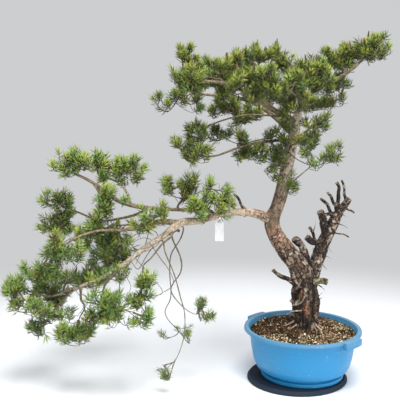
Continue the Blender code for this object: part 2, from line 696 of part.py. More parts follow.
def make_label():
    """A plain strip label: a strap looped round the bough and a flat plate that hangs from it."""
    line, radii = limb_line("left_bough")
    centre = spline_point(line, LABEL_AT)
    way = (spline_point(line, LABEL_AT + 0.01) - centre).normalized()
    around = spline_point(radii, LABEL_AT) + 0.0009
    down = (Vector((0, 0, -1)) - way * -way.z).normalized()
    side = way.cross(down)
    steps = 10
    bm = bmesh.new()
    rings = []
    for j in range(steps):
        angle = math.tau * (j + 0.5) / steps
        out = down * math.cos(angle) + side * math.sin(angle)
        inner, outer = around / math.cos(math.pi / steps), (around + LABEL_THICK) / math.cos(math.pi / steps)
        half = way * LABEL_LOOP / 2
        corners = (out * inner - half, out * outer - half, out * outer + half, out * inner + half)
        rings.append([bm.verts.new(centre + corner) for corner in corners])
    for j in range(steps):
        here, there = rings[j], rings[(j + 1) % steps]
        for k in range(4):
            bm.faces.new((here[k], here[(k + 1) % 4], there[(k + 1) % 4], there[k]))
    bmesh.ops.recalc_face_normals(bm, faces=bm.faces[:])
    label = new_object("label", bm, WHITE_PLASTIC)
    top = centre + down * (around + LABEL_THICK / 2)
    shoulder, half_width, half_strap = 0.012, LABEL_WIDTH / 2, LABEL_LOOP / 2
    outline = ((-half_strap, 0), (half_strap, 0), (half_width, -shoulder), (half_width, -LABEL_LENGTH),
               (-half_width, -LABEL_LENGTH), (-half_width, -shoulder))
    bm = bmesh.new()
    faces = []
    for depth in (-LABEL_THICK / 2, LABEL_THICK / 2):
        faces.append([bm.verts.new(top + Vector((x, depth, z))) for x, z in outline])
    bm.faces.new(faces[0])
    bm.faces.new(faces[1][::-1])
    for j in range(len(outline)):
        k = (j + 1) % len(outline)
        bm.faces.new((faces[0][j], faces[1][j], faces[1][k], faces[0][k]))
    bmesh.ops.recalc_face_normals(bm, faces=bm.faces[:])
    fuse(label, [new_object("plate", bm, WHITE_PLASTIC)])
    return label


def shapes_of(mesh_maker):
    """The vertices and faces of a shape, as lists, with its box. It is used to look for room."""
    bm = bmesh.new()
    mesh_maker(bm)
    points = [v.co.copy() for v in bm.verts]
    bm.verts.index_update()
    faces = [[v.index for v in f.verts] for f in bm.faces]
    bm.free()
    return points, faces


def box_of(points):
    low = Vector(min(p[k] for p in points) for k in range(3))
    high = Vector(max(p[k] for p in points) for k in range(3))
    return low, high


def boxes_meet(a, b):
    return all(a[0][k] <= b[1][k] and b[0][k] <= a[1][k] for k in range(3))


class Room:
    """The space that is taken. Each entry is the owner's name, a box and a search tree."""

    def __init__(self):
        self.taken = []

    def add(self, owner, points, faces):
        self.taken.append((owner, box_of(points), BVHTree.FromPolygons(points, faces)))

    def add_object(self, obj):
        mesh = obj.data
        self.add(obj.name, [v.co.copy() for v in mesh.vertices], [list(p.vertices) for p in mesh.polygons])

    def crossings(self, owner, points, faces):
        """How many pairs of faces meet, between this shape and what others than its owner have taken."""
        box, tree = box_of(points), BVHTree.FromPolygons(points, faces)
        found = 0
        for other, other_box, other_tree in self.taken:
            if other != owner and boxes_meet(box, other_box):
                found += len(tree.overlap(other_tree))
        return found


def add_spray(bm, line, radii, way, spin, fat=0.0):
    """A twig along the line that ends in a slim core, whose faces are drawn out into bundles of needles."""
    foot = line[-1]
    frames = side_ways([*line, foot + way * SHOOT])

    def place(centre, frame, radius, angle):
        across, up = frame
        return bm.verts.new(centre + (across * math.cos(angle) + up * math.sin(angle)) * radius)

    def core_place(radius, turn, along):
        return place(foot + way * along, frames[-1], radius, spin + math.tau * turn / 6)

    rings = []
    for centre, frame, radius in zip(line[:-1], frames, radii):
        rings.append([place(centre, frame, radius + fat, spin + math.tau * j / 3) for j in range(3)])
    cores = []
    for tier in range(TIERS + 1):
        cores.append([core_place(CORE_RADIUS + fat, tier + 2 * j, SHOOT * tier / TIERS) for j in range(3)])
    rings.append(cores[0])
    for low, high in zip(rings, rings[1:]):
        for j in range(3):
            bm.faces.new((low[j], low[(j + 1) % 3], high[(j + 1) % 3], high[j]))
    bm.faces.new(rings[0][::-1])
    for tier in range(TIERS):
        low, high = cores[tier], cores[tier + 1]
        reach = NEEDLE_REACH * (1 - 0.12 * tier) + fat
        for j in range(3):
            k = (j + 1) % 3
            halves = ((0.33, 1, (low[j], low[k], high[j])), (0.67, 2, (high[j], low[k], high[k])))
            for share, turn, face in halves:
                point = core_place(reach, tier + 2 * j + turn, SHOOT * (tier + share) / TIERS + NEEDLE_LEAN)
                for a, b in zip(face, face[1:] + face[:1]):
                    bm.faces.new((a, b, point))
    ahead = core_place(0, 0, SHOOT + NEEDLE_REACH + fat)
    for j in range(3):
        bm.faces.new((cores[-1][j], cores[-1][(j + 1) % 3], ahead))


def twig_line(start, way, end, shoot_way, first=0.0):
    """A twig leaves along its parent's line and turns to the way of its shoot. first is where it starts."""
    span = (end - start).length
    near = start + way * span * 0.25
    far = end - shoot_way * span * 0.3
    line = []
    for k in range(len(TWIG_RADII) + 1):
        u = first + (1 - first) * k / len(TWIG_RADII)
        v = 1 - u
        line.append(start * v**3 + near * 3 * u * v * v + far * 3 * u * u * v + end * u**3)
    return line


def lobe_tip(rng, middle, half, others):
    """A place for one more shoot in a lobe, as far as it can be from the others."""
    best, best_room = None, -1.0
    for _try in range(TIP_TRIES):
        while True:
            p = Vector(rng.uniform(-1, 1) for _k in range(3))
            if 0.3 < p.length < 1:
                break
        spot = middle + Vector(max(0.3 * h, h - NEEDLE_REACH * INSET) * c for h, c in zip(half, p))
        room = min(((spot - other).length for other in others), default=1.0)
        if room > best_room:
            best, best_room = spot, room
    return best


class Wood:
    """The places of one mass where a new twig can leave, with the way that the wood runs there."""

    def __init__(self):
        self.joints = []

    def add(self, line, first, last):
        """Joints between two shares of the line, JOINT_SPACING apart."""
        length = sum((b - a).length for a, b in zip(line, line[1:])) * (last - first)
        count = max(1, round(length / JOINT_SPACING))
        for k in range(count):
            span = (first + (last - first) * (k + 0.5) / count) * (len(line) - 1)
            i = min(int(span), len(line) - 2)
            self.joints.append((line[i].lerp(line[i + 1], span - i), (line[i + 1] - line[i]).normalized()))

    def nearest(self, tip):
        """The joint that is nearest the tip, where one that lies behind it counts as nearer."""

        def cost(joint):
            point, way = joint
            off = tip - point
            cramped = 1.0 if off.length < SHOOT * 1.2 else 0.0
            return off.length * (1.35 - 0.35 * way.dot(off.normalized())) + cramped

        return min(self.joints, key=cost)


def stem_of(name):
    """The line of a mass's stem, from inside its limb to its lobes, and the share of it before they begin."""
    mass = MASSES[name]
    line, radii = limb_line(mass["on"])
    first = Vector(mass["via"][0]) if "via" in mass else Vector(mass["lobes"][0][0])
    if mass["at"] >= 1:
        way = (line[-1] - line[-2]).normalized()
        points = [line[-1] - way * TIP_SINK, line[-1] + way * 0.010]
    else:
        heart, radius = spline_point(line, mass["at"]), spline_point(radii, mass["at"])
        along = (spline_point(line, min(1, mass["at"] + 0.02)) - heart).normalized()
        out = first - heart
        out = (out - along * out.dot(along)).normalized()
        points = [heart + out * radius * 0.4, heart + out * (radius + 0.010)]
    points += [Vector(p) for p in mass.get("via", ())]
    for middle, half, _count in mass["lobes"]:
        middle = Vector(middle)
        points.append(middle - (middle - points[-1]).normalized() * half[0] * 0.2)
    lead = (len(points) - 1 - len(mass["lobes"])) / (len(points) - 1)
    return smooth_line(points, 2 * len(points) - 1), lead


def spray_object(*shape):
    bm = bmesh.new()
    add_spray(bm, *shape)
    bmesh.ops.triangulate(bm, faces=bm.faces[:])
    bmesh.ops.recalc_face_normals(bm, faces=bm.faces[:])
    return new_object("spray", bm, NEEDLES)


def stem_radii(line):
    return taper((STEM_BASE, STEM_TIP), len(line))


def grow_mass(name, room):
    """Grows one mass: its stem ends in a spray, and the others leave it one by one and are fused on."""
    rng = random.Random(name)
    line, lead = stem_of(name)
    tips, pieces, own, wood = [], [], Room(), Wood()
    way = ((line[-1] - line[-2]).normalized() + Vector((0, 0, LIFT))).normalized()
    for _attempt in range(ATTEMPTS):
        spin = rng.uniform(0, math.tau)
        end_way = (way + Vector(rng.gauss(0, 0.25) for _k in range(3))).normalized()
        shape = (line, stem_radii(line), end_way, spin)
        test = shapes_of(lambda bm: add_spray(bm, line[2:], stem_radii(line)[2:], end_way, spin, CLEAR))
        if room.crossings(name, *test) == 0:
            break
    obj = spray_object(*shape)
    obj.name = name
    tips.append(line[-1] + end_way * SHOOT)
    own.add("stem", *shapes_of(lambda bm: add_spray(bm, *shape)))
    room.add(name, *test)
    wood.add(line, max(0.25, lead), 0.97)
    for middle, half, shoots in MASSES[name]["lobes"]:
        middle = Vector(middle)
        for _shoot in range(shoots):
            for attempt in range(ATTEMPTS):
                tip = lobe_tip(rng, middle, half, tips)
                joint = wood.nearest(tip)
                point, way = joint
                run, out = (tip - point).normalized(), (tip - middle).normalized()
                shoot_way = (run * 0.7 + out * 0.5 + Vector((0, 0, LIFT))).normalized()
                foot = tip - shoot_way * SHOOT
                twig = twig_line(point - run * ROOT_SINK, way, foot, shoot_way)
                past_root = twig_line(point, way, foot, shoot_way, first=0.3)
                spin = rng.uniform(0, math.tau)
                test = shapes_of(lambda bm: add_spray(bm, twig, TWIG_RADII, shoot_way, spin, CLEAR))
                bare = shapes_of(lambda bm: add_spray(bm, past_root, TWIG_RADII, shoot_way, spin))
                if room.crossings(name, *test) == 0 and own.crossings("", *bare) <= CROSSINGS + attempt // 14:
                    break
            else:
                continue
            tips.append(tip)
            wood.joints.remove(joint)
            wood.add(twig, 0.4, 0.95)
            room.add(name, *test)
            own.add("spray", *shapes_of(lambda bm: add_spray(bm, twig, TWIG_RADII, shoot_way, spin)))
            pieces.append(spray_object(twig, TWIG_RADII, shoot_way, spin))
    if pieces:
        fuse(obj, pieces, solver="MANIFOLD")
    cut_clear(obj, MASSES[name]["on"])
    keep_outer_shell(obj)
    return obj


def stem_room(name):
    """A mass's stem as a shape, a little fat, so that other masses keep off it."""
    line, _lead = stem_of(name)
    return shapes_of(lambda bm: add_tube(bm, line, [r + CLEAR for r in stem_radii(line)], 3))


def main():
    clear_scene()
    make_turntable()
    make_pot()
    make_soil()
    room = Room()
    for name in LIMBS:
        room.add_object(make_limb(name))
    room.add_object(make_label())
    for name in MASSES:
        room.add(name, *stem_room(name))
    for name in MASSES:
        grow_mass(name, room)


main()
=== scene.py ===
"""The finish of a scots pine bonsai in a round plastic basin that stands on a turntable.

The file is laid out as a Blender add-on and is run as a script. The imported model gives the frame: every
size is in metres, +X is to the right, +Y away from the viewer and +Z up. The wood, twigs and needles are
grown by the rule that the solids follow, carried on to finer twigs.
"""

import json
import math
import random
from typing import NamedTuple

import bpy
import numpy as np
from bpy.props import FloatProperty, FloatVectorProperty, IntProperty, PointerProperty
from bpy.types import Operator, Panel, PropertyGroup
from mathutils import Matrix, Vector, noise
from mathutils.kdtree import KDTree

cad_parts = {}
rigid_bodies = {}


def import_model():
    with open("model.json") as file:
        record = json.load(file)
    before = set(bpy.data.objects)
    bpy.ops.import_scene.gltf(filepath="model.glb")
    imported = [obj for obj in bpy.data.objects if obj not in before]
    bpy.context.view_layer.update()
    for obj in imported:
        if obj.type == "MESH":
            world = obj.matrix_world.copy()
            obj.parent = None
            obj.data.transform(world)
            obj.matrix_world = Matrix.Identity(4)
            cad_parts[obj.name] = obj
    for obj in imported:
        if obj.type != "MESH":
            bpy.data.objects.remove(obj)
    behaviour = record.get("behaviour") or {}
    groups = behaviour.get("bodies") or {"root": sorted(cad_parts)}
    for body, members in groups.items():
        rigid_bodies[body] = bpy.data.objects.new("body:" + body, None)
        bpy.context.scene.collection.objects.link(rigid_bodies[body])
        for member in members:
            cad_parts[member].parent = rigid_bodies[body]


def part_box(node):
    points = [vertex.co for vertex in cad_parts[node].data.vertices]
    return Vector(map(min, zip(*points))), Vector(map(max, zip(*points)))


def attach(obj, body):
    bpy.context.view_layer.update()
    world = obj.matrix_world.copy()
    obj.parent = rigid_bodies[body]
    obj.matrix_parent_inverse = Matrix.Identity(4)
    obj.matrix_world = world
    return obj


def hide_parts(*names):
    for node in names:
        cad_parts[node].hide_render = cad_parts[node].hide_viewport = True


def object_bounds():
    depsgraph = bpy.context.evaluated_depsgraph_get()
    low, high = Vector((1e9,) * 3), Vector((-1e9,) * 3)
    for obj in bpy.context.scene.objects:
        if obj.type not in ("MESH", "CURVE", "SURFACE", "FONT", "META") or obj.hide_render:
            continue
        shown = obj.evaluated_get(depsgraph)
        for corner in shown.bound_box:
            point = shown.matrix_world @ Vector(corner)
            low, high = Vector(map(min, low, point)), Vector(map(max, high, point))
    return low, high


bl_info = {
    "name": "Scots Pine Bonsai",
    "version": (1, 0, 0),
    "blender": (4, 5, 0),
    "location": "3D View > Sidebar > Bonsai",
    "description": "Bark, needles, soil, basin and turntable for a scots pine bonsai",
    "category": "Add Mesh",
}

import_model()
CAD_LOW, CAD_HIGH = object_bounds()
POT_LOW, POT_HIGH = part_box("pot")
DISC_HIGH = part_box("turntable")[1]

# Basin and turntable
POT_CENTRE = Vector((0.015, 0, 0))
POT_FOOT = POT_LOW.z
POT_RIM_RADIUS = 0.185
POT_HEIGHT = POT_HIGH.z - POT_LOW.z
POT_OVAL = 1.05  # the basin is longer across its grips
POT_STRETCH = (math.sqrt(POT_OVAL), 1 / math.sqrt(POT_OVAL), 1)
HANDLE_TURN = math.radians(-45)  # how far the grips are turned from the X axis
HANDLE_HALF = math.radians(11)  # half the angle that a grip takes up
HANDLE_REACH = 0.014  # how far a grip stands out of the rim
HANDLE_DROP = 0.025  # how far down the solids' grips reach; those of the scene stop a little short of it
GRIP_STEP = 0.0015  # how far a grip's top lies under the rim's
GRIP_WALL = 0.0035  # the grip's wall in front of the finger pocket
DISC_RADIUS = DISC_HIGH.x
DISC_HEIGHT = DISC_HIGH.z

# Soil
SOIL_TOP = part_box("soil")[1].z
SOIL_EDGE = 0.156  # height of the soil at the basin's wall
SOIL_RADIUS = 0.162
SOIL_PATCH = 0.066  # radius of the level patch round the trunk
SOIL_SEED = 11
GRAIN_COUNT = 8200
FALLEN_NEEDLES = 420
TRUNK_X = 0.025  # the trunk's middle where it leaves the soil
GRAINS_CLEAR = 0.044  # how far from the trunk's middle the edges of the grains stay
NEEDLES_CLEAR = 0.040  # how far from it fallen needles start
GRAINS = {  # each kind with its colour and the dark in it
    "pumice": ("#cfc196", "#94835c"),
    "akadama": ("#94744e", "#5c4430"),
    "bark_chip": ("#4c3d22", "#241c10"),
    "lava": ("#292214", "#14100a"),
    "pale_grit": ("#fbf6e4", "#dcd2b4"),
}

# Camera and lamps. The camera was worked out from the basin's rim and the turntable's edge in the photo.
CAMERA_PLACE = (-0.311, -2.6045, 1.0176)
CAMERA_PITCH = 0.1668  # in radians, downwards
CAMERA_FOCAL = 852  # focal length in pixels of the photo
PHOTO_HALF = 200  # half the photo's width, in pixels
LAMPS_AIM = Vector((-0.25, 0, 0.5))

# A limb is the line of its heart and the radii that go with it, from its root to its tip. A radius
# pair is a plain taper. "on" is the limb that it leaves, and None is for one that stands on the soil.
TRUNK_LINE = (
    (0.025, 0, 0.170), (0.024, 0, 0.205), (0.022, 0, 0.265), (0.012, -0.005, 0.330), (-0.012, -0.012, 0.383),
    (-0.045, -0.020, 0.425), (-0.080, -0.020, 0.480), (-0.088, -0.018, 0.520), (-0.073, -0.015, 0.560),
    (-0.058, -0.008, 0.610), (-0.044, 0, 0.680), (-0.030, 0.010, 0.740), (-0.017, 0.014, 0.805),
    (-0.009, 0.010, 0.865), (-0.004, 0.010, 0.910), (0.004, 0.016, 0.950),
)
TRUNK_RADII = (
    0.046, 0.038, 0.041, 0.037, 0.030, 0.029, 0.024, 0.0235, 0.0205, 0.0205, 0.019, 0.0180, 0.0155, 0.0125,
    0.010, 0.006,
)
LIMBS = {
    "trunk": dict(on=None, line=TRUNK_LINE, radii=TRUNK_RADII, rings=27),
    "dead_trunk": dict(
        on="trunk",
        line=((0.030, 0.010, 0.290), (0.050, 0.024, 0.345), (0.075, 0.038, 0.420),
              (0.105, 0.045, 0.485), (0.130, 0.045, 0.535), (0.160, 0.040, 0.578)),
        radii=(0.026, 0.023, 0.021, 0.0185, 0.015, 0.0095), rings=12,
    ),
    "left_bough": dict(
        on="trunk",
        line=((-0.085, -0.018, 0.518), (-0.140, -0.035, 0.543), (-0.185, -0.050, 0.550),
              (-0.220, -0.060, 0.550), (-0.255, -0.070, 0.544), (-0.310, -0.080, 0.530),
              (-0.370, -0.090, 0.524), (-0.420, -0.100, 0.487), (-0.475, -0.110, 0.453),
              (-0.535, -0.112, 0.405), (-0.595, -0.110, 0.366), (-0.665, -0.100, 0.333),
              (-0.705, -0.090, 0.310)),
        radii=(0.017, 0.0135, 0.0115, 0.011, 0.0105, 0.0105, 0.0125, 0.0095, 0.0088, 0.0075, 0.0065, 0.0055,
               0.0045),
        rings=22,
    ),
    "left_tip_bough": dict(
        on="left_bough tip",
        line=((-0.705, -0.090, 0.310), (-0.728, -0.084, 0.284), (-0.754, -0.077, 0.255),
              (-0.772, -0.072, 0.230)),
        radii=(0.0042, 0.0028), rings=6,
    ),
    "left_mid_bough": dict(
        on="left_bough",
        line=((-0.370, -0.090, 0.525), (-0.430, -0.072, 0.524), (-0.475, -0.050, 0.512),
              (-0.515, -0.030, 0.495), (-0.555, -0.015, 0.486)),
        radii=(0.0095, 0.0050), rings=8,
    ),
    "left_fore_bough": dict(
        on="left_mid_bough tip",
        line=((-0.555, -0.015, 0.486), (-0.615, -0.045, 0.492), (-0.675, -0.070, 0.480),
              (-0.730, -0.088, 0.450), (-0.770, -0.090, 0.420), (-0.790, -0.080, 0.380)),
        radii=(0.0042, 0.0026), rings=9,
    ),
    "left_upper_bough": dict(
        on="left_bough",
        line=((-0.262, -0.071, 0.544), (-0.290, -0.060, 0.560), (-0.340, -0.048, 0.556),
              (-0.405, -0.030, 0.555), (-0.480, 0.000, 0.555), (-0.530, 0.020, 0.561),
              (-0.575, 0.030, 0.576), (-0.615, 0.040, 0.605), (-0.660, 0.040, 0.635),
              (-0.710, 0.030, 0.660), (-0.740, 0.022, 0.672)),
        radii=(0.0048, 0.0050, 0.0052, 0.0056, 0.0075, 0.0072, 0.0070, 0.0062, 0.0050, 0.0040, 0.0034),
        rings=18,
    ),
    "left_rise_bough": dict(
        on="left_upper_bough",
        line=((-0.527, 0.019, 0.560), (-0.540, 0.034, 0.596), (-0.562, 0.052, 0.622),
              (-0.595, 0.072, 0.635), (-0.625, 0.085, 0.645)),
        radii=(0.0046, 0.0030), rings=7,
    ),
    "left_far_bough": dict(
        on="left_upper_bough",
        line=((-0.470, -0.004, 0.555), (-0.505, 0.035, 0.530), (-0.560, 0.075, 0.508),
              (-0.635, 0.098, 0.496), (-0.700, 0.102, 0.520), (-0.745, 0.092, 0.540)),
        radii=(0.0052, 0.0028), rings=9,
    ),
    "crown_west_bough": dict(
        on="trunk",
        line=((-0.020, 0.010, 0.822), (-0.080, -0.028, 0.854), (-0.140, -0.070, 0.892),
              (-0.195, -0.100, 0.925), (-0.250, -0.125, 0.943), (-0.300, -0.138, 0.948)),
        radii=(0.0100, 0.0042), rings=10,
    ),
    "crown_back_bough": dict(
        on="trunk",
        line=((-0.022, 0.014, 0.778), (-0.085, 0.055, 0.838), (-0.140, 0.088, 0.872),
              (-0.190, 0.110, 0.888), (-0.250, 0.130, 0.894), (-0.320, 0.142, 0.900)),
        radii=(0.0090, 0.0036), rings=10,
    ),
    "crown_low_bough": dict(
        on="crown_west_bough",
        line=((-0.060, -0.014, 0.838), (-0.110, -0.012, 0.842), (-0.175, -0.018, 0.843),
              (-0.235, -0.028, 0.830), (-0.285, -0.034, 0.812)),
        radii=(0.0036, 0.0024), rings=8,
    ),
    "mid_west_bough": dict(
        on="trunk",
        line=((-0.024, 0.012, 0.768), (-0.095, -0.030, 0.765), (-0.155, -0.050, 0.758),
              (-0.205, -0.062, 0.745), (-0.265, -0.080, 0.726), (-0.320, -0.092, 0.726)),
        radii=(0.0050, 0.0026), rings=9,
    ),
    "crown_east_bough": dict(
        on="trunk",
        line=((-0.006, 0.010, 0.895), (0.030, -0.002, 0.912), (0.065, -0.012, 0.935),
              (0.110, -0.020, 0.957), (0.145, -0.028, 0.982), (0.172, -0.030, 1.008)),
        radii=(0.0080, 0.0042), rings=9,
    ),
}

# Short dead stubs: the limb that each is fused to, its root, its tip and its two radii.
STUBS = (
    ("trunk", (-0.010, -0.002, 0.305), (-0.085, -0.030, 0.365), 0.0085, 0.0060),
    ("trunk", (0.030, -0.015, 0.325), (0.086, -0.030, 0.325), 0.0110, 0.0095),
    ("dead_trunk", (0.052, 0.020, 0.350), (-0.014, 0.006, 0.456), 0.0150, 0.0115),
    ("left_bough", (-0.165, -0.044, 0.550), (-0.210, -0.060, 0.608), 0.0050, 0.0042),
    ("dead_trunk", (0.152, 0.042, 0.566), (0.135, 0.050, 0.635), 0.0052, 0.0036),
    ("dead_trunk", (0.128, 0.044, 0.530), (0.124, 0.034, 0.585), 0.0085, 0.0060),
    ("dead_trunk", (0.124, 0.034, 0.580), (0.115, 0.030, 0.630), 0.0062, 0.0052),
    ("dead_trunk", (0.134, 0.045, 0.540), (0.085, 0.022, 0.600), 0.0062, 0.0042),
    ("dead_trunk", (0.118, 0.045, 0.515), (0.070, 0.060, 0.575), 0.0064, 0.0048),
    ("dead_trunk", (0.145, 0.042, 0.550), (0.176, 0.036, 0.531), 0.0042, 0.0030),
    ("dead_trunk", (0.092, 0.042, 0.458), (0.066, 0.022, 0.540), 0.0135, 0.0115),
    ("dead_trunk", (0.066, 0.024, 0.534), (0.112, 0.042, 0.522), 0.0062, 0.0062),
    ("dead_trunk", (0.074, 0.038, 0.418), (0.026, 0.020, 0.458), 0.0115, 0.0095),
    ("dead_trunk", (0.062, 0.036, 0.432), (0.038, 0.060, 0.482), 0.0060, 0.0050),
    ("dead_trunk", (0.100, 0.044, 0.475), (0.160, 0.030, 0.455), 0.0034, 0.0024),
)

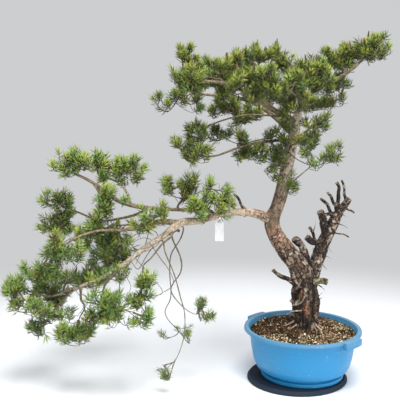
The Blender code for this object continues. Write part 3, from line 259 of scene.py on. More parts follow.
# A mass is where its stem leaves a limb, a share of the limb's length with 1 for its tip, the line
# that the stem follows on its way, and its lobes: middle, half sizes, and number of large shoots.
MASSES = {
    "left_top_mass": dict(
        on="left_upper_bough", at=1.0,
        lobes=(((-0.710, 0.020, 0.692), (0.074, 0.06, 0.056), 5),),
    ),
    "left_crest_mass": dict(
        on="left_rise_bough", at=1.0,
        lobes=(((-0.628, 0.085, 0.682), (0.042, 0.06, 0.056), 4),
               ((-0.532, 0.080, 0.668), (0.057, 0.06, 0.060), 6)),
    ),
    "left_under_mass": dict(
        on="left_upper_bough", at=0.76,
        lobes=(((-0.608, -0.030, 0.592), (0.042, 0.05, 0.056), 5),),
    ),
    "left_far_mass": dict(
        on="left_far_bough", at=1.0,
        lobes=(((-0.770, 0.080, 0.572), (0.060, 0.05, 0.034), 4),
               ((-0.775, 0.110, 0.492), (0.065, 0.05, 0.042), 3)),
    ),
    "left_heart_mass": dict(
        on="left_mid_bough", at=0.80,
        lobes=(((-0.610, 0.030, 0.490), (0.085, 0.07, 0.078), 6),),
    ),
    "left_back_mass": dict(
        on="left_far_bough", at=0.45,
        lobes=(((-0.600, 0.150, 0.435), (0.078, 0.07, 0.090), 5),),
    ),
    "left_brow_mass": dict(
        on="left_fore_bough", at=1.0,
        lobes=(((-0.800, -0.080, 0.376), (0.067, 0.06, 0.048), 4),
               ((-0.730, -0.105, 0.445), (0.062, 0.05, 0.046), 2)),
    ),
    "left_reach_mass": dict(
        on="left_bough", at=0.985, via=((-0.770, -0.095, 0.297),),
        lobes=(((-0.875, -0.080, 0.322), (0.047, 0.06, 0.042), 5),
               ((-0.830, -0.130, 0.285), (0.055, 0.05, 0.032), 3)),
    ),
    "left_low_mass": dict(
        on="left_bough", at=0.94,
        lobes=(((-0.765, -0.010, 0.320), (0.080, 0.07, 0.056), 5),),
    ),
    "left_droop_mass": dict(
        on="left_tip_bough", at=1.0,
        lobes=(((-0.802, -0.066, 0.200), (0.052, 0.06, 0.044), 3),),
    ),
    "left_bottom_mass": dict(
        on="left_bough", at=0.935,
        via=((-0.668, -0.130, 0.295), (-0.655, -0.150, 0.280), (-0.672, -0.152, 0.245)),
        lobes=(((-0.680, -0.150, 0.200), (0.072, 0.06, 0.037), 5),),
    ),
    "left_belly_mass": dict(
        on="left_bough", at=0.80, via=((-0.595, -0.150, 0.345),),
        lobes=(((-0.585, -0.190, 0.295), (0.057, 0.06, 0.066), 6),
               ((-0.475, -0.210, 0.272), (0.040, 0.05, 0.036), 3)),
    ),
    "left_hang_mass": dict(
        on="left_bough", at=0.56,
        via=((-0.425, -0.120, 0.465), (-0.455, -0.140, 0.430), (-0.480, -0.150, 0.405)),
        lobes=(((-0.470, -0.170, 0.370), (0.036, 0.05, 0.036), 3),
               ((-0.497, -0.170, 0.315), (0.036, 0.05, 0.028), 3)),
    ),
    "left_ridge_mass": dict(
        on="left_bough", at=0.88,
        lobes=(((-0.655, 0.060, 0.352), (0.100, 0.08, 0.060), 5),),
    ),
    "bough_west_mass": dict(
        on="left_upper_bough", at=0.26,
        lobes=(((-0.345, -0.040, 0.625), (0.037, 0.04, 0.052), 4),
               ((-0.410, -0.010, 0.625), (0.028, 0.04, 0.037), 2)),
    ),
    "bough_east_mass": dict(
        on="left_bough", at=0.375,
        lobes=(((-0.310, -0.110, 0.596), (0.042, 0.05, 0.056), 5),
               ((-0.278, -0.100, 0.628), (0.027, 0.04, 0.037), 1),
               ((-0.246, -0.105, 0.590), (0.037, 0.04, 0.052), 2)),
    ),
    "bough_knot_mass": dict(
        on="left_mid_bough", at=0.45,
        lobes=(((-0.460, -0.095, 0.545), (0.060, 0.06, 0.046), 4),),
    ),
    "hanging_spray_1": dict(
        on="left_bough", at=0.525,
        via=((-0.385, -0.090, 0.500), (-0.395, -0.090, 0.480), (-0.370, -0.080, 0.415),
             (-0.370, -0.080, 0.370), (-0.400, -0.080, 0.315), (-0.365, -0.090, 0.265),
             (-0.325, -0.090, 0.240)),
        lobes=(((-0.300, -0.090, 0.262), (0.030, 0.04, 0.046), 3),),
    ),
    "hanging_spray_2": dict(
        on="left_bough", at=0.495,
        via=((-0.362, -0.060, 0.495), (-0.372, -0.050, 0.465), (-0.400, -0.035, 0.415),
             (-0.405, -0.035, 0.360), (-0.402, -0.040, 0.280), (-0.420, -0.045, 0.232),
             (-0.395, -0.045, 0.190)),
        lobes=(((-0.358, -0.050, 0.178), (0.032, 0.03, 0.028), 2),),
    ),
    "hanging_spray_3": dict(
        on="left_bough", at=0.60,
        via=((-0.415, -0.120, 0.440), (-0.387, -0.140, 0.375), (-0.370, -0.142, 0.310),
             (-0.357, -0.142, 0.255), (-0.360, -0.142, 0.185), (-0.380, -0.136, 0.120)),
        lobes=(((-0.415, -0.130, 0.076), (0.030, 0.04, 0.032), 2),),
    ),
    "crown_west_tip_mass": dict(
        on="crown_back_bough", at=1.0,
        lobes=(((-0.398, 0.150, 0.882), (0.072, 0.06, 0.042), 7),),
    ),
    "crown_west_mass": dict(
        on="crown_west_bough", at=1.0,
        lobes=(((-0.365, -0.140, 0.945), (0.074, 0.07, 0.052), 5),
               ((-0.365, -0.095, 1.022), (0.037, 0.04, 0.044), 1)),
    ),
    "crown_mid_west_mass": dict(
        on="crown_west_bough", at=0.78,
        lobes=(((-0.265, -0.060, 0.975), (0.072, 0.07, 0.066), 8),),
    ),
    "crown_top_mass": dict(
        on="crown_back_bough", at=0.40,
        lobes=(((-0.180, 0.070, 1.010), (0.064, 0.07, 0.066), 8),),
    ),
    "crown_front_mass": dict(
        on="crown_west_bough", at=0.45,
        lobes=(((-0.160, -0.180, 0.935), (0.077, 0.07, 0.056), 8),),
    ),
    "crown_peak_mass": dict(on="trunk", at=1.0, lobes=(((-0.080, 0.050, 1.013), (0.056, 0.07, 0.058), 6),)),
    "crown_inner_mass": dict(
        on="trunk", at=0.90,
        lobes=(((-0.045, -0.120, 0.955), (0.060, 0.06, 0.056), 6),),
    ),
    "crown_east_mass": dict(
        on="crown_east_bough", at=0.36,
        lobes=(((0.030, -0.055, 0.965), (0.064, 0.06, 0.060), 6),),
    ),
    "crown_back_mass": dict(
        on="trunk", at=0.93,
        lobes=(((-0.035, 0.160, 0.945), (0.077, 0.07, 0.066), 6),),
    ),
    "crown_ridge_mass": dict(
        on="crown_east_bough", at=0.70,
        lobes=(((0.092, 0.020, 1.010), (0.060, 0.06, 0.050), 6),),
    ),
    "crown_east_tip_mass": dict(
        on="crown_east_bough", at=1.0,
        lobes=(((0.202, -0.030, 1.048), (0.062, 0.06, 0.052), 7),),
    ),
    "crown_east_low_mass": dict(
        on="trunk", at=0.865,
        lobes=(((0.078, 0.090, 0.892), (0.067, 0.06, 0.038), 5),
               ((0.125, 0.050, 0.940), (0.037, 0.04, 0.028), 2)),
    ),
    "crown_under_mass": dict(
        on="crown_back_bough", at=0.58,
        lobes=(((-0.235, 0.060, 0.862), (0.065, 0.06, 0.046), 6),),
    ),
    "mid_west_mass": dict(
        on="mid_west_bough", at=1.0,
        lobes=(((-0.345, -0.100, 0.736), (0.057, 0.06, 0.048), 6),),
    ),
    "mid_upper_mass": dict(
        on="crown_low_bough", at=1.0,
        lobes=(((-0.330, -0.040, 0.803), (0.040, 0.05, 0.042), 4),),
    ),
    "mid_back_mass": dict(
        on="trunk", at=0.715, via=((-0.110, 0.060, 0.760), (-0.190, 0.090, 0.745)),
        lobes=(((-0.262, 0.110, 0.780), (0.052, 0.05, 0.038), 4),),
    ),
    "mid_inner_mass": dict(
        on="mid_west_bough", at=0.55,
        lobes=(((-0.180, -0.030, 0.775), (0.066, 0.06, 0.052), 5),),
    ),
    "trunk_west_mass": dict(
        on="trunk", at=0.665,
        lobes=(((-0.082, -0.045, 0.728), (0.036, 0.05, 0.058), 4),),
    ),
    "trunk_front_mass": dict(
        on="trunk", at=0.80,
        lobes=(((-0.045, -0.090, 0.850), (0.040, 0.05, 0.044), 4),),
    ),
    "east_mid_mass": dict(
        on="trunk", at=0.755,
        lobes=(((0.032, -0.090, 0.828), (0.040, 0.05, 0.036), 3),
               ((0.008, -0.110, 0.778), (0.040, 0.04, 0.036), 3)),
    ),
    "east_low_mass": dict(
        on="trunk", at=0.575,
        lobes=(((-0.025, -0.070, 0.655), (0.037, 0.04, 0.040), 3),
               ((0.066, -0.130, 0.742), (0.042, 0.05, 0.040), 4)),
    ),
}

# Label
LABEL_AT = 0.333  # share of the left bough's length where the label hangs
LABEL_WIDTH = 0.026
LABEL_LENGTH = 0.068
LABEL_THICK = 0.0008
LABEL_LOOP = 0.005  # width of the strap round the bough
LABEL_NECK = ((0.004, 0.013), (0.004, 0.020), (0.004, LABEL_WIDTH))  # how far each step drops, and its width
LABEL_STEPS = (*LABEL_NECK, (LABEL_LENGTH - 0.012, LABEL_WIDTH))
STRAP_THICK = 0.001
STRAP_GAP = 0.0011  # from the bough's surface to the middle of the strap

# Tufts, the clumps of shoots that the photo shows apart from each other: place across and up, in centimetres,
# and size, with 1 for a full tuft.
TUFTS = {
    "left_top_mass": (
        (-70, 73, 0.7), (-71, 71, 0.9), (-68, 71, 0.9), (-66, 70, 0.7), (-74, 69, 0.7), (-77, 69, 0.5),
        (-70, 68, 0.7), (-73, 66, 0.5),
    ),
    "left_crest_mass": (
        (-64, 71, 0.8), (-64, 68, 0.7), (-62, 69, 0.9), (-61, 66, 0.9), (-62, 64, 0.7), (-57, 69, 0.9),
        (-57, 66, 0.9), (-55, 69, 0.8), (-52, 70, 0.8), (-53, 67, 0.7), (-49, 67, 0.6), (-51, 64, 0.7),
        (-56, 63, 0.6),
    ),
    "left_under_mass": (
        (-60, 62, 0.7), (-58, 62, 0.6), (-61, 59, 0.8), (-61, 57, 0.8), (-60, 57, 0.9), (-59, 60, 0.7),
        (-60, 55, 0.6), (-54, 59, 0.5),
    ),
    "left_far_mass": (
        (-81, 57, 0.6), (-80, 59, 0.5), (-76, 58, 0.8), (-73, 57, 0.8), (-73, 55, 0.6), (-77, 55, 0.5),
        (-82, 48, 0.8), (-78, 50, 0.9), (-79, 47, 0.8), (-76, 50, 1), (-75, 47, 0.8), (-73, 52, 0.6),
        (-73, 47, 0.6),
    ),
    "left_heart_mass": (
        (-64, 52, 0.9), (-63, 49, 0.9), (-66, 50, 0.7), (-67, 47, 0.9), (-64, 47, 0.9), (-60, 47, 0.9),
        (-62, 44, 0.9), (-67, 44, 0.8), (-58, 49, 0.8), (-58, 46, 0.7), (-54, 45, 0.7), (-59, 43, 0.9),
        (-61, 41, 0.9), (-69, 48, 0.7), (-70, 46, 0.6),
    ),
    "left_back_mass": (
        (-59, 39, 1), (-56, 38, 0.9), (-63, 37, 1), (-59, 35, 0.9), (-66, 39, 0.7), (-56, 36, 0.7),
        (-62, 33, 0.7), (-67, 35, 0.7),
    ),
    "left_brow_mass": (
        (-75, 49, 0.7), (-73, 47, 0.6), (-76, 46, 0.6), (-74, 45, 0.8), (-77, 44, 0.7), (-73, 43, 0.8),
        (-71, 45, 0.7), (-68, 46, 0.7), (-67, 44, 0.6), (-70, 43, 0.5), (-85, 39, 0.5), (-83, 37, 0.7),
        (-80, 39, 0.8), (-80, 36, 0.8), (-77, 39, 0.7), (-75, 40, 0.8), (-75, 37, 0.8), (-78, 36, 0.7),
    ),
    "left_reach_mass": (
        (-90, 34, 0.8), (-87, 34, 0.9), (-86, 33, 0.8), (-89, 32, 0.8), (-88, 28, 0.7), (-86, 29, 0.6),
        (-82, 29, 0.8), (-80, 28, 0.8), (-88, 29, 0.4), (-77, 27, 0.7), (-80, 26, 0.5),
    ),
    "left_low_mass": (
        (-81, 31, 1), (-79, 33, 0.8), (-83, 29, 0.8), (-77, 30, 0.8), (-78, 27, 0.9), (-75, 27, 0.8),
        (-73, 29, 0.6), (-76, 25, 0.6), (-75, 31, 0.6),
    ),
    "left_droop_mass": (
        (-78, 24, 0.6), (-80, 23, 0.5), (-83, 20, 0.8), (-81, 19, 0.7), (-73, 24, 0.7), (-76, 24, 0.5),
        (-71, 24, 0.5),
    ),
    "left_bottom_mass": (
        (-73, 21, 0.9), (-71, 20, 0.8), (-69, 21, 0.9), (-67, 20, 0.6), (-66, 22, 0.7), (-64, 21, 0.8),
        (-65, 20, 0.5), (-72, 22, 0.5),
    ),
    "left_belly_mass": (
        (-59, 32, 0.9), (-57, 32, 0.8), (-55, 33, 0.6), (-60, 30, 0.8), (-58, 29, 1), (-55, 29, 0.8),
        (-59, 27, 0.9), (-56, 27, 0.8), (-62, 34, 0.6), (-64, 32, 0.4), (-63, 28, 0.7), (-64, 27, 0.6),
        (-62, 26, 0.6), (-46, 28, 0.7), (-46, 27, 0.5), (-47, 25, 0.5), (-50, 26, 0.6), (-55, 41, 0.4),
        (-58, 40, 0.4), (-61, 38, 0.4), (-63, 39, 0.4),
    ),
    "left_hang_mass": (
        (-49, 37, 0.7), (-47, 38, 0.8), (-45, 38, 0.5), (-47, 36, 0.7), (-52, 31, 0.5), (-50, 30, 0.7),
        (-49, 32, 0.6), (-46, 33, 0.5), (-51, 32, 0.4),
    ),
    "left_ridge_mass": (
        (-75, 32, 0.7), (-72, 32, 0.8), (-70, 31, 0.9), (-68, 34, 0.7), (-66, 33, 0.9), (-64, 34, 0.9),
        (-67, 31, 0.7), (-63, 31, 0.8), (-61, 33, 0.6), (-57, 32, 0.6), (-55, 35, 0.6), (-67, 30, 0.6),
    ),
    "bough_west_mass": (
        (-33, 66, 0.6), (-37, 64, 0.6), (-35, 63, 0.8), (-36, 61, 0.8), (-33, 63, 0.5), (-41, 64, 0.7),
        (-41, 62, 0.8),
    ),
    "bough_east_mass": (
        (-28, 65, 0.7), (-29, 62, 0.8), (-27, 61, 0.6), (-33, 60, 0.7), (-34, 58, 0.7), (-31, 58, 0.9),
        (-31, 56, 0.7), (-23, 63, 0.7), (-24, 61, 0.7), (-25, 58, 0.7), (-22, 59, 0.7),
    ),
    "bough_knot_mass": (
        (-42, 58, 0.5), (-42, 56, 0.7), (-44, 56, 0.4), (-48, 55, 0.6), (-47, 53, 0.6), (-46, 52, 0.6),
        (-51, 53, 0.5), (-49, 51, 0.5),
    ),
    "hanging_spray_1": (
        (-31, 28, 0.8), (-30, 29, 0.5), (-28, 24, 0.9),
    ),
    "hanging_spray_2": (
        (-35, 17, 0.7), (-43, 17, 0.5),
    ),
    "hanging_spray_3": (
        (-42, 6, 0.8),
    ),
    "crown_west_tip_mass": (
        (-46, 89, 0.3), (-44, 90, 0.5), (-41, 88, 0.6), (-39, 91, 0.6), (-37, 91, 0.6), (-36, 88, 0.5),
        (-32, 89, 0.7), (-31, 86, 0.6),
    ),
    "crown_west_mass": (
        (-34, 98, 1), (-36, 96, 0.9), (-32, 96, 1), (-35, 94, 0.9), (-31, 99, 0.8), (-38, 97, 0.5),
        (-32, 93, 0.7), (-36, 103, 0.8), (-37, 105, 0.4), (-34, 105, 0.5), (-32, 102, 0.5), (-34, 101, 0.6),
    ),
    "crown_mid_west_mass": (
        (-29, 101, 0.6), (-26, 100, 0.9), (-23, 100, 1), (-28, 98, 0.8), (-25, 97, 1), (-21, 97, 0.9),
        (-20, 102, 0.8), (-30, 94, 0.7), (-23, 94, 0.8), (-24, 91, 0.8), (-27, 95, 0.8), (-25, 93, 0.7),
    ),
    "crown_top_mass": (
        (-20, 103, 0.6), (-17, 103, 0.8), (-14, 104, 0.9), (-16, 100, 0.9), (-12, 102, 0.8), (-19, 99, 0.8),
        (-10, 103, 0.7),
    ),
    "crown_front_mass": (
        (-20, 96, 0.9), (-17, 97, 0.9), (-14, 98, 0.9), (-11, 96, 1), (-15, 94, 1), (-12, 94, 0.9),
        (-18, 92, 0.7), (-22, 94, 0.7), (-11, 99, 0.7), (-17, 90, 0.6), (-14, 91, 0.6), (-10, 93, 0.8),
    ),
    "crown_peak_mass": (
        (-8, 104, 0.9), (-6, 102, 0.8), (-5, 100, 0.8), (-7, 101, 0.5), (-3, 98, 0.6),
    ),
    "crown_inner_mass": (
        (-5, 96, 0.9), (-3, 97, 0.8), (-7, 94, 0.8), (-2, 94, 0.8), (-9, 95, 0.7), (-7, 92, 0.8),
        (-1, 91, 0.7),
    ),
    "crown_east_mass": (
        (-2, 100, 0.7), (1, 99, 0.9), (3, 99, 1), (6, 97, 1), (7, 95, 0.9), (2, 96, 1), (4, 94, 0.9),
        (0, 95, 0.9), (7, 93, 0.7), (5, 101, 0.6),
    ),
    "crown_back_mass": (
        (-7, 90, 0.9), (-2, 90, 0.9), (-4, 88, 0.8), (0, 87, 0.9), (1, 89, 0.8), (-9, 88, 0.5),
    ),
    "crown_ridge_mass": (
        (7, 104, 0.6), (9, 102, 0.7), (12, 103, 1), (14, 103, 0.9), (16, 105, 0.5), (13, 105, 0.6),
        (11, 100, 0.7), (8, 100, 0.5), (13, 100, 0.7), (17, 103, 0.6), (15, 100, 0.5),
    ),
    "crown_east_tip_mass": (
        (17, 105, 0.8), (19, 106, 0.8), (21, 108, 0.7), (23, 108, 0.4), (21, 105, 0.9), (19, 103, 0.7),
        (25, 105, 0.6), (23, 103, 0.6), (20, 102, 0.5),
    ),
    "crown_east_low_mass": (
        (3, 88, 0.7), (5, 88, 0.9), (8, 88, 0.9), (10, 88, 0.7), (13, 90, 0.5), (2, 86, 0.5), (12, 96, 0.8),
        (11, 94, 0.7), (14, 94, 0.5),
    ),
    "crown_under_mass": (
        (-27, 86, 0.7), (-24, 87, 0.9), (-26, 89, 0.5), (-20, 87, 0.8), (-19, 84, 0.8), (-16, 84, 0.9),
        (-13, 85, 0.7), (-20, 82, 0.4), (-21, 89, 0.6), (-16, 87, 0.6),
    ),
    "mid_west_mass": (
        (-38, 77, 0.8), (-34, 77, 0.7), (-32, 75, 0.9), (-29, 75, 0.8), (-35, 74, 0.8), (-33, 73, 0.8),
        (-39, 78, 0.3),
    ),
    "mid_upper_mass": (
        (-32, 82, 0.7), (-34, 81, 0.7), (-30, 81, 0.6), (-34, 78, 0.8), (-31, 78, 0.6),
    ),
    "mid_back_mass": (
        (-29, 78, 0.5), (-27, 80, 0.5), (-26, 79, 0.8), (-24, 78, 0.6), (-22, 78, 0.6),
    ),
    "mid_inner_mass": (
        (-19, 79, 0.9), (-17, 75, 1), (-20, 73, 0.5), (-17, 73, 0.7), (-14, 73, 0.7), (-12, 75, 0.7),
        (-12, 72, 0.6), (-10, 79, 0.8), (-19, 72, 0.5), (-14, 76, 0.6), (-8, 74, 0.7),
    ),
    "trunk_west_mass": (
        (-6, 78, 0.8), (-7, 75, 0.7), (-8, 72, 0.9), (-9, 69, 0.7), (-8, 66, 0.6), (-6, 72, 0.6),
        (-8, 80, 0.5),
    ),
    "trunk_front_mass": (
        (-6, 86, 0.8), (-6, 83, 0.8), (-5, 88, 0.6), (-1, 88, 0.6),
    ),
    "east_mid_mass": (
        (0, 83, 0.6), (4, 84, 0.7), (6, 85, 0.7), (6, 82, 0.6), (2, 79, 0.9), (-1, 78, 0.8), (-3, 78, 0.4),
        (1, 77, 0.6), (0, 74, 0.6), (-1, 75, 0.5),
    ),
    "east_low_mass": (
        (-4, 65, 0.6), (-3, 64, 0.7), (9, 77, 0.5), (7, 75, 0.7), (8, 73, 0.6), (5, 73, 0.6), (2, 72, 0.5),
    ),
}

# Shoots, twigs and needles
INSET = 0.010  # how far inside its lobe a shoot's tip stays
TWIG_RADIUS = 0.00105  # a twig that carries one shoot
TWIG_GROWTH = 0.40  # how fast a twig thickens with the shoots that it carries
TWIG_STEP = 0.009  # spacing of the rings along a twig
JOINT_SPACING = 0.010  # between the places on a twig where new ones can leave
STEM_OUT = 0.010  # how far a mass's stem runs straight out of its limb
ROOT_SINK = 0.0005  # how far behind its joint a twig's root lies
SHOOT_LENGTHS = (0.012, 0.030)
STEM_SHOOT = 0.026  # length of the shoot at a stem's end
STEM_TIP_ROOM = 0.03  # how far ahead of a stem's end its shoot's tip is reckoned
TIP_TRIES = 4  # places that are tried for a shoot's tip, of which the roomiest is kept
ATTEMPTS = 14  # times that a shoot is tried before it is left out
CLEARANCE = 0.0015  # between a twig and a limb's surface
NEEDLES_AHEAD = 0.015  # how far needles stand out ahead of a shoot's tip
BOX_MARGIN = 0.006  # how far inside the solids' box that place stays
HANGING_LOBES = 0.4  # share of its shoots that a hanging spray's lobe has beside those of its tufts
OTHER_LOBES = 0.6  # the same for every other lobe
TUFT_HALF = 0.026  # half width of a full tuft
TUFT_DEPTH = 0.046  # half depth of a tuft
TUFT_SINK = 0.004  # how far the tips stand below a tuft's middle, because their needles reach on upwards
TUFT_SHOOTS = 3.7  # shoots in a full tuft where the fullness is 1
CROWN_SHARE = 1.5  # the crown's tufts have so many times as many
HANGING_SHARE = 1.2  # and those of the hanging sprays so many times as many
HANGING_DEPTH = 0.016  # half depth of a tuft on a hanging spray
LIFT = 0.60  # how strongly shoots turn up to the light
GOLDEN_TURN = math.radians(137.5)
OLD_AND_SHADED_SHARE = 0.42  # the part of a shoot that carries last year's needles, which are darker; near the twig they also paint the shade inside the tufts
STALK_RADIUS = 0.0009  # how far from a shoot's line its needles start
PAIR_HALF = 0.0004  # half the distance between the roots of a pair
BOX_GAP = 0.0006  # how far inside the solids' box the tips of needles stay
LOW_SPRAYS = 0.45  # height under which the left side's sprays are bluer
OLIVE_SHARE = 0.07  # share of the sprays that are yellowed

# Buds. A kind is its shortest and longest, how strongly it stands up, and its radius.
CROWN_BUDS = 0.45  # share of the crown's shoots that have a bud
OTHER_BUDS = 0.20
HIGH_CANDLES = 0.42  # share of the buds high in the crown that are tall candles
STRAY_CANDLES = 0.02  # the same elsewhere
CANDLE = ((0.020, 0.034), 1.2, 0.0031)
BUD = ((0.006, 0.010), 0.1, 0.0021)
SIDE_BUD_RADIUS = 0.0017

# Dry twigs that stand out of the old wood: root, tip and the radius that both ends are worked out from.
DRY_TWIGS = (
    ((0.118, 0.030, 0.500), (0.160, 0.010, 0.482), 0.0021),
    ((0.112, 0.030, 0.470), (0.142, 0.008, 0.460), 0.0019),
    ((0.088, 0.018, 0.440), (0.108, 0.000, 0.402), 0.0018),
    ((0.080, 0.010, 0.400), (0.104, -0.012, 0.390), 0.0018),
    ((0.075, 0.010, 0.372), (0.097, -0.010, 0.350), 0.0018),
    ((0.054, -0.012, 0.268), (0.071, -0.024, 0.289), 0.0022),
    ((0.069, -0.022, 0.287), (0.081, -0.028, 0.292), 0.0015),
    ((0.050, -0.012, 0.232), (0.062, -0.024, 0.240), 0.0017),
    ((-0.060, -0.020, 0.470), (-0.034, -0.030, 0.450), 0.0013),
    ((0.026, 0.020, 0.456), (0.024, 0.018, 0.486), 0.0015),
    ((0.052, 0.020, 0.400), (0.038, 0.002, 0.430), 0.0019),
    ((-0.165, -0.044, 0.545), (-0.181, -0.050, 0.532), 0.0022),
    ((0.066, 0.040, 0.300), (0.084, 0.052, 0.316), 0.0018),
    ((0.052, 0.060, 0.470), (0.060, 0.084, 0.500), 0.0018),
    ((0.060, -0.008, 0.310), (0.082, -0.020, 0.292), 0.0020),
    ((0.056, -0.016, 0.262), (0.080, -0.030, 0.276), 0.0017),
    ((0.090, 0.030, 0.430), (0.074, 0.004, 0.452), 0.0019),
    ((0.130, 0.030, 0.530), (0.150, 0.010, 0.520), 0.0017),
)

# Bare twigs that hang and cross below the boughs: depth, places across and up, and radius. Each starts in
# the limb that is nearest.
BARE_TWIGS = (
    (-0.100, ((-0.457, 0.516), (-0.484, 0.443), (-0.507, 0.397)), 0.0012),
    (-0.105, ((-0.431, 0.490), (-0.463, 0.440), (-0.498, 0.385), (-0.522, 0.410)), 0.0014),
    (-0.102, ((-0.392, 0.352), (-0.432, 0.307), (-0.474, 0.287), (-0.492, 0.296)), 0.0010),
    (-0.110, ((-0.416, 0.503), (-0.446, 0.457), (-0.491, 0.438), (-0.513, 0.453)), 0.0010),
    (-0.090, ((-0.447, 0.499), (-0.473, 0.499), (-0.503, 0.491), (-0.515, 0.480)), 0.0010),
    (-0.095, ((-0.462, 0.473), (-0.484, 0.477), (-0.503, 0.469), (-0.514, 0.454)), 0.0010),
    (-0.100, ((-0.534, 0.366), (-0.523, 0.327), (-0.539, 0.295)), 0.0009),
    (-0.105, ((-0.455, 0.359), (-0.425, 0.313), (-0.463, 0.297), (-0.493, 0.289)), 0.0009),
    (-0.030, ((-0.043, 0.728), (-0.016, 0.709), (0.028, 0.691), (0.058, 0.695), (0.093, 0.711)), 0.0015),
    (-0.020, ((-0.031, 0.764), (-0.017, 0.776), (0.022, 0.802), (0.046, 0.822)), 0.0014),
    (-0.035, ((-0.049, 0.768), (-0.031, 0.755), (-0.001, 0.759), (0.021, 0.773)), 0.0012),
    (-0.040, ((-0.032, 0.836), (-0.035, 0.821), (-0.045, 0.781), (-0.049, 0.769)), 0.0012),
    (-0.035, ((-0.058, 0.841), (-0.075, 0.816), (-0.071, 0.790), (-0.053, 0.766)), 0.0012),
    (-0.120, ((-0.703, 0.480), (-0.757, 0.433), (-0.785, 0.385)), 0.0011),
    (-0.130, ((-0.694, 0.343), (-0.660, 0.285), (-0.681, 0.244)), 0.0011),
    (-0.130, ((-0.663, 0.414), (-0.700, 0.374), (-0.731, 0.321)), 0.0010),
    (-0.120, ((-0.574, 0.411), (-0.551, 0.393), (-0.539, 0.349)), 0.0011),
)

# Surface roots from the trunk's foot: line over the soil, and radii.
SURFACE_ROOTS = (
    (((0.050, -0.020, 0.186), (0.064, -0.032, 0.174), (0.068, -0.062, 0.1700), (0.066, -0.108, 0.1665)),
     (0.0044, 0.0022)),
    (((0.054, 0.000, 0.184), (0.074, -0.002, 0.171), (0.098, -0.012, 0.166)), (0.0040, 0.0015)),
    (((0.044, -0.026, 0.184), (0.053, -0.044, 0.1725), (0.050, -0.074, 0.1690)), (0.0034, 0.0017)),
    (((-0.004, -0.018, 0.185), (-0.026, -0.022, 0.171), (-0.052, -0.040, 0.166)), (0.0038, 0.0014)),
    (((-0.010, 0.006, 0.188), (-0.034, 0.010, 0.173), (-0.062, 0.016, 0.166)), (0.0044, 0.0016)),
    (((0.030, 0.030, 0.186), (0.034, 0.054, 0.171), (0.030, 0.082, 0.165)), (0.0044, 0.0016)),
    (((0.006, -0.038, 0.2345), (-0.014, -0.043, 0.2355), (-0.028, -0.040, 0.232), (-0.040, -0.036, 0.222)),
     (0.0030, 0.0016)),
)

# Wood
NOISE_SEED = 5  # for the noise that shifts places, which differs from run to run without one
OLD_LIMBS = ("trunk", "dead_trunk", "left_bough")  # they are one skin, with plates of old bark
LEADERS = ("trunk", "dead_trunk")
FOOT_RADII = (0.038, 0.036)  # the trunk's two lowest radii, where it goes down into the soil
FOOT_SINK = 0.006  # how much lower than the solid the trunk starts
TIP_SINK = 0.006  # how far a limb or stem that goes on from a tip reaches back into it
TUBE_SPACING = 0.004  # between the rings of a limb's tube
SAMPLE_SPACING = 0.002  # between the places in a limb's heart that its skin is measured from
THICK_LIMB = 0.012  # radius over which a limb is searched on its own
STUB_BOW = 0.05  # a stub's bow as a share of its length
STUB_KNEE = 0.0045  # how far a knee steps aside
KNEE_SHARES = {5: -1, 6: 1, 7: -0.6, 8: 0.6}  # the stubs that have a knee, with its share and side
MOSSY_STUB = "stub_1"
DRY_TWIG_BOW = 0.06
DRY_TWIG_TIP = 0.0009  # radius of a dry twig at its tip
BOUGH_GRAIN = 0.0013  # spacing of the thin boughs' mesh
BOUGH_RELIEF = 0.0007  # depth of the relief of their bark

# Bark. A pair is where a change up the trunk starts and where it is complete, as heights.
BARK_VALUES = ("plate", "tone", "warm", "dead", "moss", "cut", "heart")  # what its material reads
OLD_BARK_ENDS = (0.30, 0.37)
PLATES_BREAK = (0.29, 0.33)
PLATES_HEAL = (0.40, 0.50)
YOUNG_BARK_STARTS = (0.43, 0.52)
YOUNG_BARK_ENDS = (0.60, 0.70)
# the trunk turns paler between these heights: partly the young bark's own colour, partly painted light on the
# upper trunk that the crown shades
PALE_AND_LIT_BARK_STARTS = (0.56, 0.72)
FORK_HEIGHT = 0.47  # the bark is most salmon round the fork
FORK_SPREAD = 0.07
BOUGH_BARK_STARTS = (0.03, 0.14)  # shares of the left bough's length over which its bark turns young and pale
OLD_RADII = (0.006, 0.022)  # radii between which bark goes from thin to fully plated
PLATE_SHAPE = 0.62  # a plate's width as a share of its length
STUB_RELIEF = 0.0030  # most that a stub's relief is deep

# The trunk's foot in front: a hollow scar with a healed lip, a knob over it and a strip of bare wood under it
FOOT_MIDDLE = 0.024
FOLDS_END = (0.29, 0.36)  # heights between which the upright folds die away
FOLD_RISE = 0.0068
FINE_FOLD_RISE = 0.0036
SCAR_BACK = 0.01  # the scar, knob and strip are all in front of this
SCAR_X = -0.004
SCAR_Z = 0.281
SCAR_HALF_WIDTH = 0.0165
SCAR_HALF_HEIGHT = 0.027
SCAR_SLANT = 0.25
SCAR_DEPTH = 0.0085
LIP_RISE = 0.0045
KNOB_X = -0.005
KNOB_Z = 0.319
KNOB_HALF_WIDTH = 0.005
KNOB_HALF_HEIGHT = 0.008
KNOB_RISE = 0.004
STRIP_X = 0.021
STRIP_Z = 0.238
STRIP_HALF_WIDTH = 0.008
STRIP_HALF_HEIGHT = 0.020
STRIP_SLANT = 0.2


class WoodSizes(PropertyGroup):
    """Sizes of the bark's relief."""

    plate_depth: FloatProperty(name="Plate depth", description="Depth of the cracks between old plates",
                               default=0.0024, min=0.0, max=0.006, unit="LENGTH")
    plate_size: FloatProperty(name="Plate size", description="Width of a plate of old bark",
                              default=0.0105, min=0.004, max=0.03, unit="LENGTH")
    grain: FloatProperty(name="Mesh grain", description="Spacing of the trunk's mesh",
                         default=0.0020, min=0.0012, max=0.004, unit="LENGTH")


